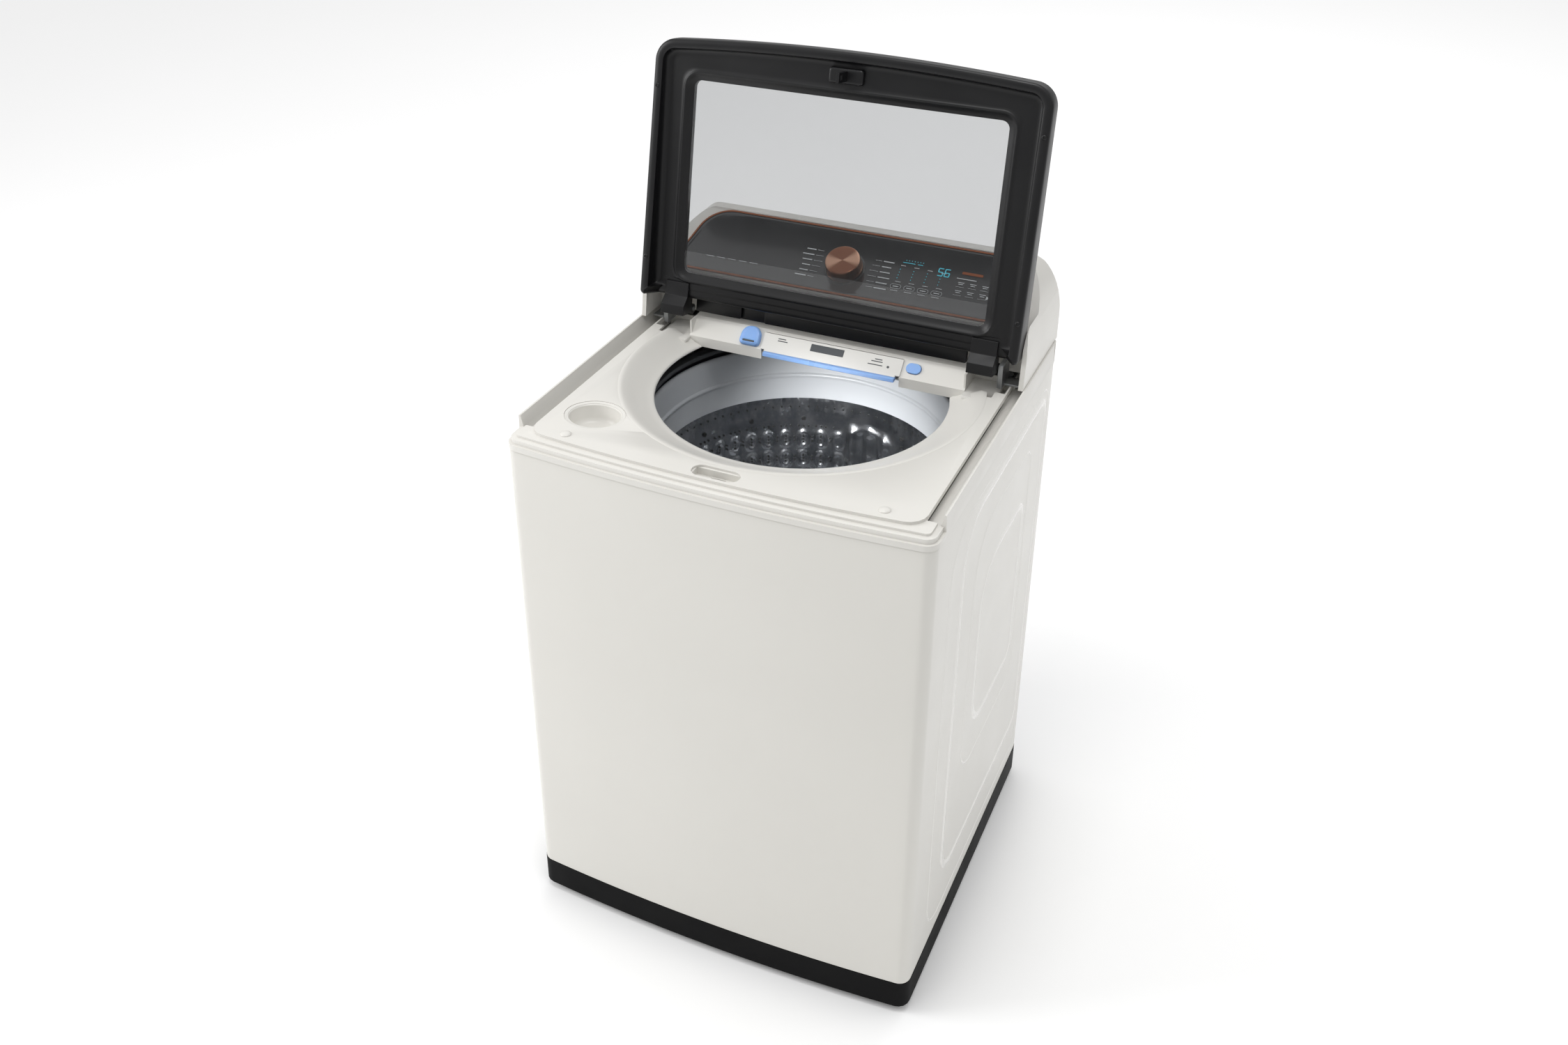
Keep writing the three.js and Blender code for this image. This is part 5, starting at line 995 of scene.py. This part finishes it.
def drawer_labels():
    """Dark plate, short bars and a dot on the drawer's sloped front."""
    bars = [rectangle(w / 2, 0.8, 0.4, DRAWER_X + x, y, 3) for x, y, w in
            ((-92, 5, 14), (-90, 1, 18), (84, 3.5, 13), (82, -0.5, 20), (80, -6.5, 26))]
    marks = {"drawer_plate": [rectangle(30, 6.5, 0.8, DRAWER_X - 8, 1.0, 3)], "drawer_bars": bars,
             "drawer_dot": [rectangle(2.2, 2.2, 2.1, DRAWER_X + 103, -6.5, 6)]}
    for name, outlines in marks.items():
        slope_marks(name, "drawer", DARK_PRINT_AND_SHADE, outlines, DRAWER_FACE)


nozzle()
drawer_flange()
drawer_labels()

# ------------------------------------------------------------------ tub, ring and basket


def balance_ring():
    """Hollow ring above the basket, turned: rounded top, a step half way down, and a lower band."""
    z, b = RING_TOP, RING_BORE
    profile = [(b - 7, z - RING_H), (b + 9.5, z - RING_H), (b + 9.7, z - RING_H + 19),
               (b + 14, z - RING_H + 20), (b + 14, z - 12), (b + 12, z - 5), (b + 8, z - 1), (b + 5, z),
               (b + 2.5, z - 0.8), (b + 0.6, z - 3), (b - 0.2, z - 8), (b - 2.6, z - 46), (b - 3.0, z - 49),
               (b - 5.0, z - 50.5), (b - 6.4, z - 52.5), (b - 6.2, z - 55), (b - 4.6, z - 57),
               (b - 4.4, z - 60), (b - 6.4, z - 92), (b - 7, z - 96)]
    piece = solid("balance_ring_turned", "basket", GREY, turned(profile, 160), wrap_rows=True, sharp=40)
    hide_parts("balance_ring")


def tub_cover():
    """Charcoal splash ring round the basket's mouth, turned: outer skirt, flat top, rolled inner edge."""
    foot, top, b, r = 868.3, 902.3, 254.8, 280.0
    profile = [(r - 5, foot), (r, foot), (r, top - 8), (r - 3, top - 3), (r - 8, top), (b + 3, top),
               (b + 0.8, top - 0.8), (b, top - 3), (b, top - 8), (b + 3, top - 8), (b + 3, top - 4),
               (r - 10, top - 4), (r - 5, top - 10)]
    piece = solid("tub_cover_turned", "tub", CHARCOAL, turned(profile, 160), wrap_rows=True)
    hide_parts("tub_cover")


def wave(value, centre, width):
    """Smooth bump of height 1 at centre that falls to 0 at width either side."""
    t = np.clip(np.abs(value - centre) / width, 0, 1)
    return (1 - t * t) ** 2


OVAL_PITCH, OVAL_ROWS, OVAL_STEP, OVAL_TOP = 7.2, 10, 42, 690
BEAD_PITCH, BEAD_LINES = 3.6, (770, 748)
SEAM_TURN = 84
WALL_TOP, WALL_T = 805.0, 1.5


def from_seam(turn):
    """Degrees from the drum's seam, between -180 and 180."""
    return (turn - SEAM_TURN + 180) % 360 - 180


def from_middle(turn, pitch):
    """Distance round the wall from the middle of the pitch that holds this angle."""
    return (turn % pitch - pitch / 2) * math.radians(1) * BASKET_R


def basket():
    """Steel drum, turned and pressed: angle and height give the wall's radius.

    Pressed in towards the laundry: rows of ovals with a raised edge and a sunk middle,
    two lines of short upright beads by the ring, and a seam at the back with upright folds.
    Each is a bell curve of the distance from its middle line.
    """
    na, zs = 720, np.concatenate([[BASKET_FLOOR_Z + 24], np.arange(304, 782, 3.0), [786, WALL_TOP]])
    a = np.arange(na) / na * TAU
    turn = np.degrees(a)[:, None]
    z = zs[None, :]
    seam = wave(from_seam(turn), 0, 17)
    press = np.zeros((na, len(zs)))
    u = from_middle(turn, OVAL_PITCH)
    for row in range(OVAL_ROWS):
        d = np.hypot(u / 9.0, (z - OVAL_TOP + row * OVAL_STEP) / 15.0)
        press += 3.4 * np.exp(-((d - 1.0) / 0.3) ** 2) + 1.6 * np.exp(-(d / 0.4) ** 2)
    u = from_middle(turn, BEAD_PITCH)
    for middle in BEAD_LINES:
        press += 1.6 * np.exp(-(u / 3) ** 2) * np.exp(-((z - middle) / 7) ** 2)
    press *= 1 - seam
    across = from_seam(turn) * math.radians(1) * BASKET_R
    below = np.clip((735 - z) / 25, 0, 1)
    press += below * (6 * np.exp(-((np.abs(across) - 34) / 9) ** 2) + 4 * np.exp(-(across / 8) ** 2))
    press += 3.0 * np.exp(-((z - 728 + np.abs(across) * 0.35) / 7) ** 2) * seam
    r = BASKET_R - 1.6 - press
    x, y = r * np.cos(a)[:, None], TUB_Y + r * np.sin(a)[:, None]
    inner = np.stack([x, y, np.broadcast_to(z, r.shape)], -1)
    floor = BASKET_FLOOR_Z
    rim = turned([(BASKET_R - 0.3, WALL_TOP + 0.6), (BASKET_R, WALL_TOP), (BASKET_R, floor + 24)], na)
    low = turned([(BASKET_R - 8, floor + 6), (BASKET_R - 24, floor), (62, floor), (62, floor + WALL_T),
                  (BASKET_R - 25, floor + WALL_T), (BASKET_R - 9, floor + 8)], na)
    grid = np.concatenate([inner, rim, low], 1)
    piece = solid("basket_pressed", "basket", STAINLESS, grid, wrap_rows=True, sharp=60)
    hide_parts("basket")


def basket_holes():
    """Drain holes: groups of three small ones at the ovals and a line of bigger ones by the ring.

    Each hole is a shallow dark cup set into the wall: four rings of eight points, given as
    [share of the hole's radius, distance in from the wall].
    """
    spots = []
    for k in range(round(360 / OVAL_PITCH)):
        middle = k * OVAL_PITCH + OVAL_PITCH / 2
        for row in range(OVAL_ROWS):
            z = OVAL_TOP - row * OVAL_STEP
            spots += [(middle, z + dz, 1.5) for dz in (-6, 0, 6)]
            spots += [(middle + OVAL_PITCH / 2, z + dz, 1.3) for dz in (-4, 4)]
        spots += [(middle + du, 718, 1.4) for du in (-2.0, 0, 2.0)]
        spots += [(middle + du, 759, 1.3) for du in (-1.8, 1.8)]
        if k % 3 == 0:
            spots.append((middle, 734, 3.6))
    spots = np.array([spot for spot in spots if abs(from_seam(spot[0])) > 14 or spot[1] > 752])
    turn, z, size = spots.T[:, :, None, None]
    share, inward = np.array([(1.25, 0.1), (1.25, 3.3), (0.85, 3.7), (0.6, 3.1)]).T[:, None, :, None]
    b = np.arange(8) / 8 * TAU
    across, up = size * share * np.cos(b), size * share * np.sin(b)
    a = np.radians(turn) + across / BASKET_R
    r = np.broadcast_to(BASKET_R - inward, a.shape)
    grid = np.stack([r * np.cos(a), TUB_Y + r * np.sin(a), z + up], -1)
    solid("basket_holes", "basket", HOLE, list(grid))


balance_ring()
tub_cover()
basket()
basket_holes()
eased("impeller", "impeller", GREY, 1.6, 3, 30)
eased("impeller_cap", "impeller", STAINLESS, 1.2)

# ------------------------------------------------------------------ springs, hose and hidden pieces


WIRE_R, COIL_R, COIL_TURNS = 1.9, 12.0, 9


def springs():
    """Coil spring round each rod: a helix of wire with flat end turns."""
    t = np.linspace(0, 1, 220)
    a = t * COIL_TURNS * TAU
    for i in range(1, 5):
        low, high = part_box(f"suspension_spring_{i}")
        x, y = (low[0] + high[0]) / 2 / MM, (low[1] + high[1]) / 2 / MM
        z0, z1 = low[2] / MM + 2, high[2] / MM - 2
        z = z0 + (z1 - z0) * np.clip((t - 0.08) / 0.84, 0, 1)
        grid = tube(np.column_stack([x + COIL_R * np.cos(a), y + COIL_R * np.sin(a), z]), WIRE_R)
        coil = solid(f"spring_coil_{i}", None, ZINC, grid)
        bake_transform(coil)
        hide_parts(f"suspension_spring_{i}")


def drain_hose():
    """Hose from the outlet in the back panel to the pump, a copy of the CAD node on no body."""
    hose = eased("drain_hose", None, RUBBER, 0, angle=50)
    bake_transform(hose)


springs()

RODS = {f"suspension_rod_{i}": ZINC for i in range(1, 5)}
KEPT = {"cabinet": {"control_board": BOARD, "water_inlet_valve": WHITE, "drain_outlet": RUBBER,
                    "cord_gland": RUBBER, **RODS},
        "tub": {"outer_tub": WHITE, "bearing_housing": ALLOY, "stator": COPPER_WIRE, "drain_pump": WHITE},
        "basket": {"basket_hub": ALLOY, "spin_shaft": ZINC},
        "impeller": {"wash_shaft": ZINC, "rotor": ZINC}}
for body, nodes in KEPT.items():
    for node, material in nodes.items():
        eased(node, body, material, 0.8, angle=34)
drain_hose()
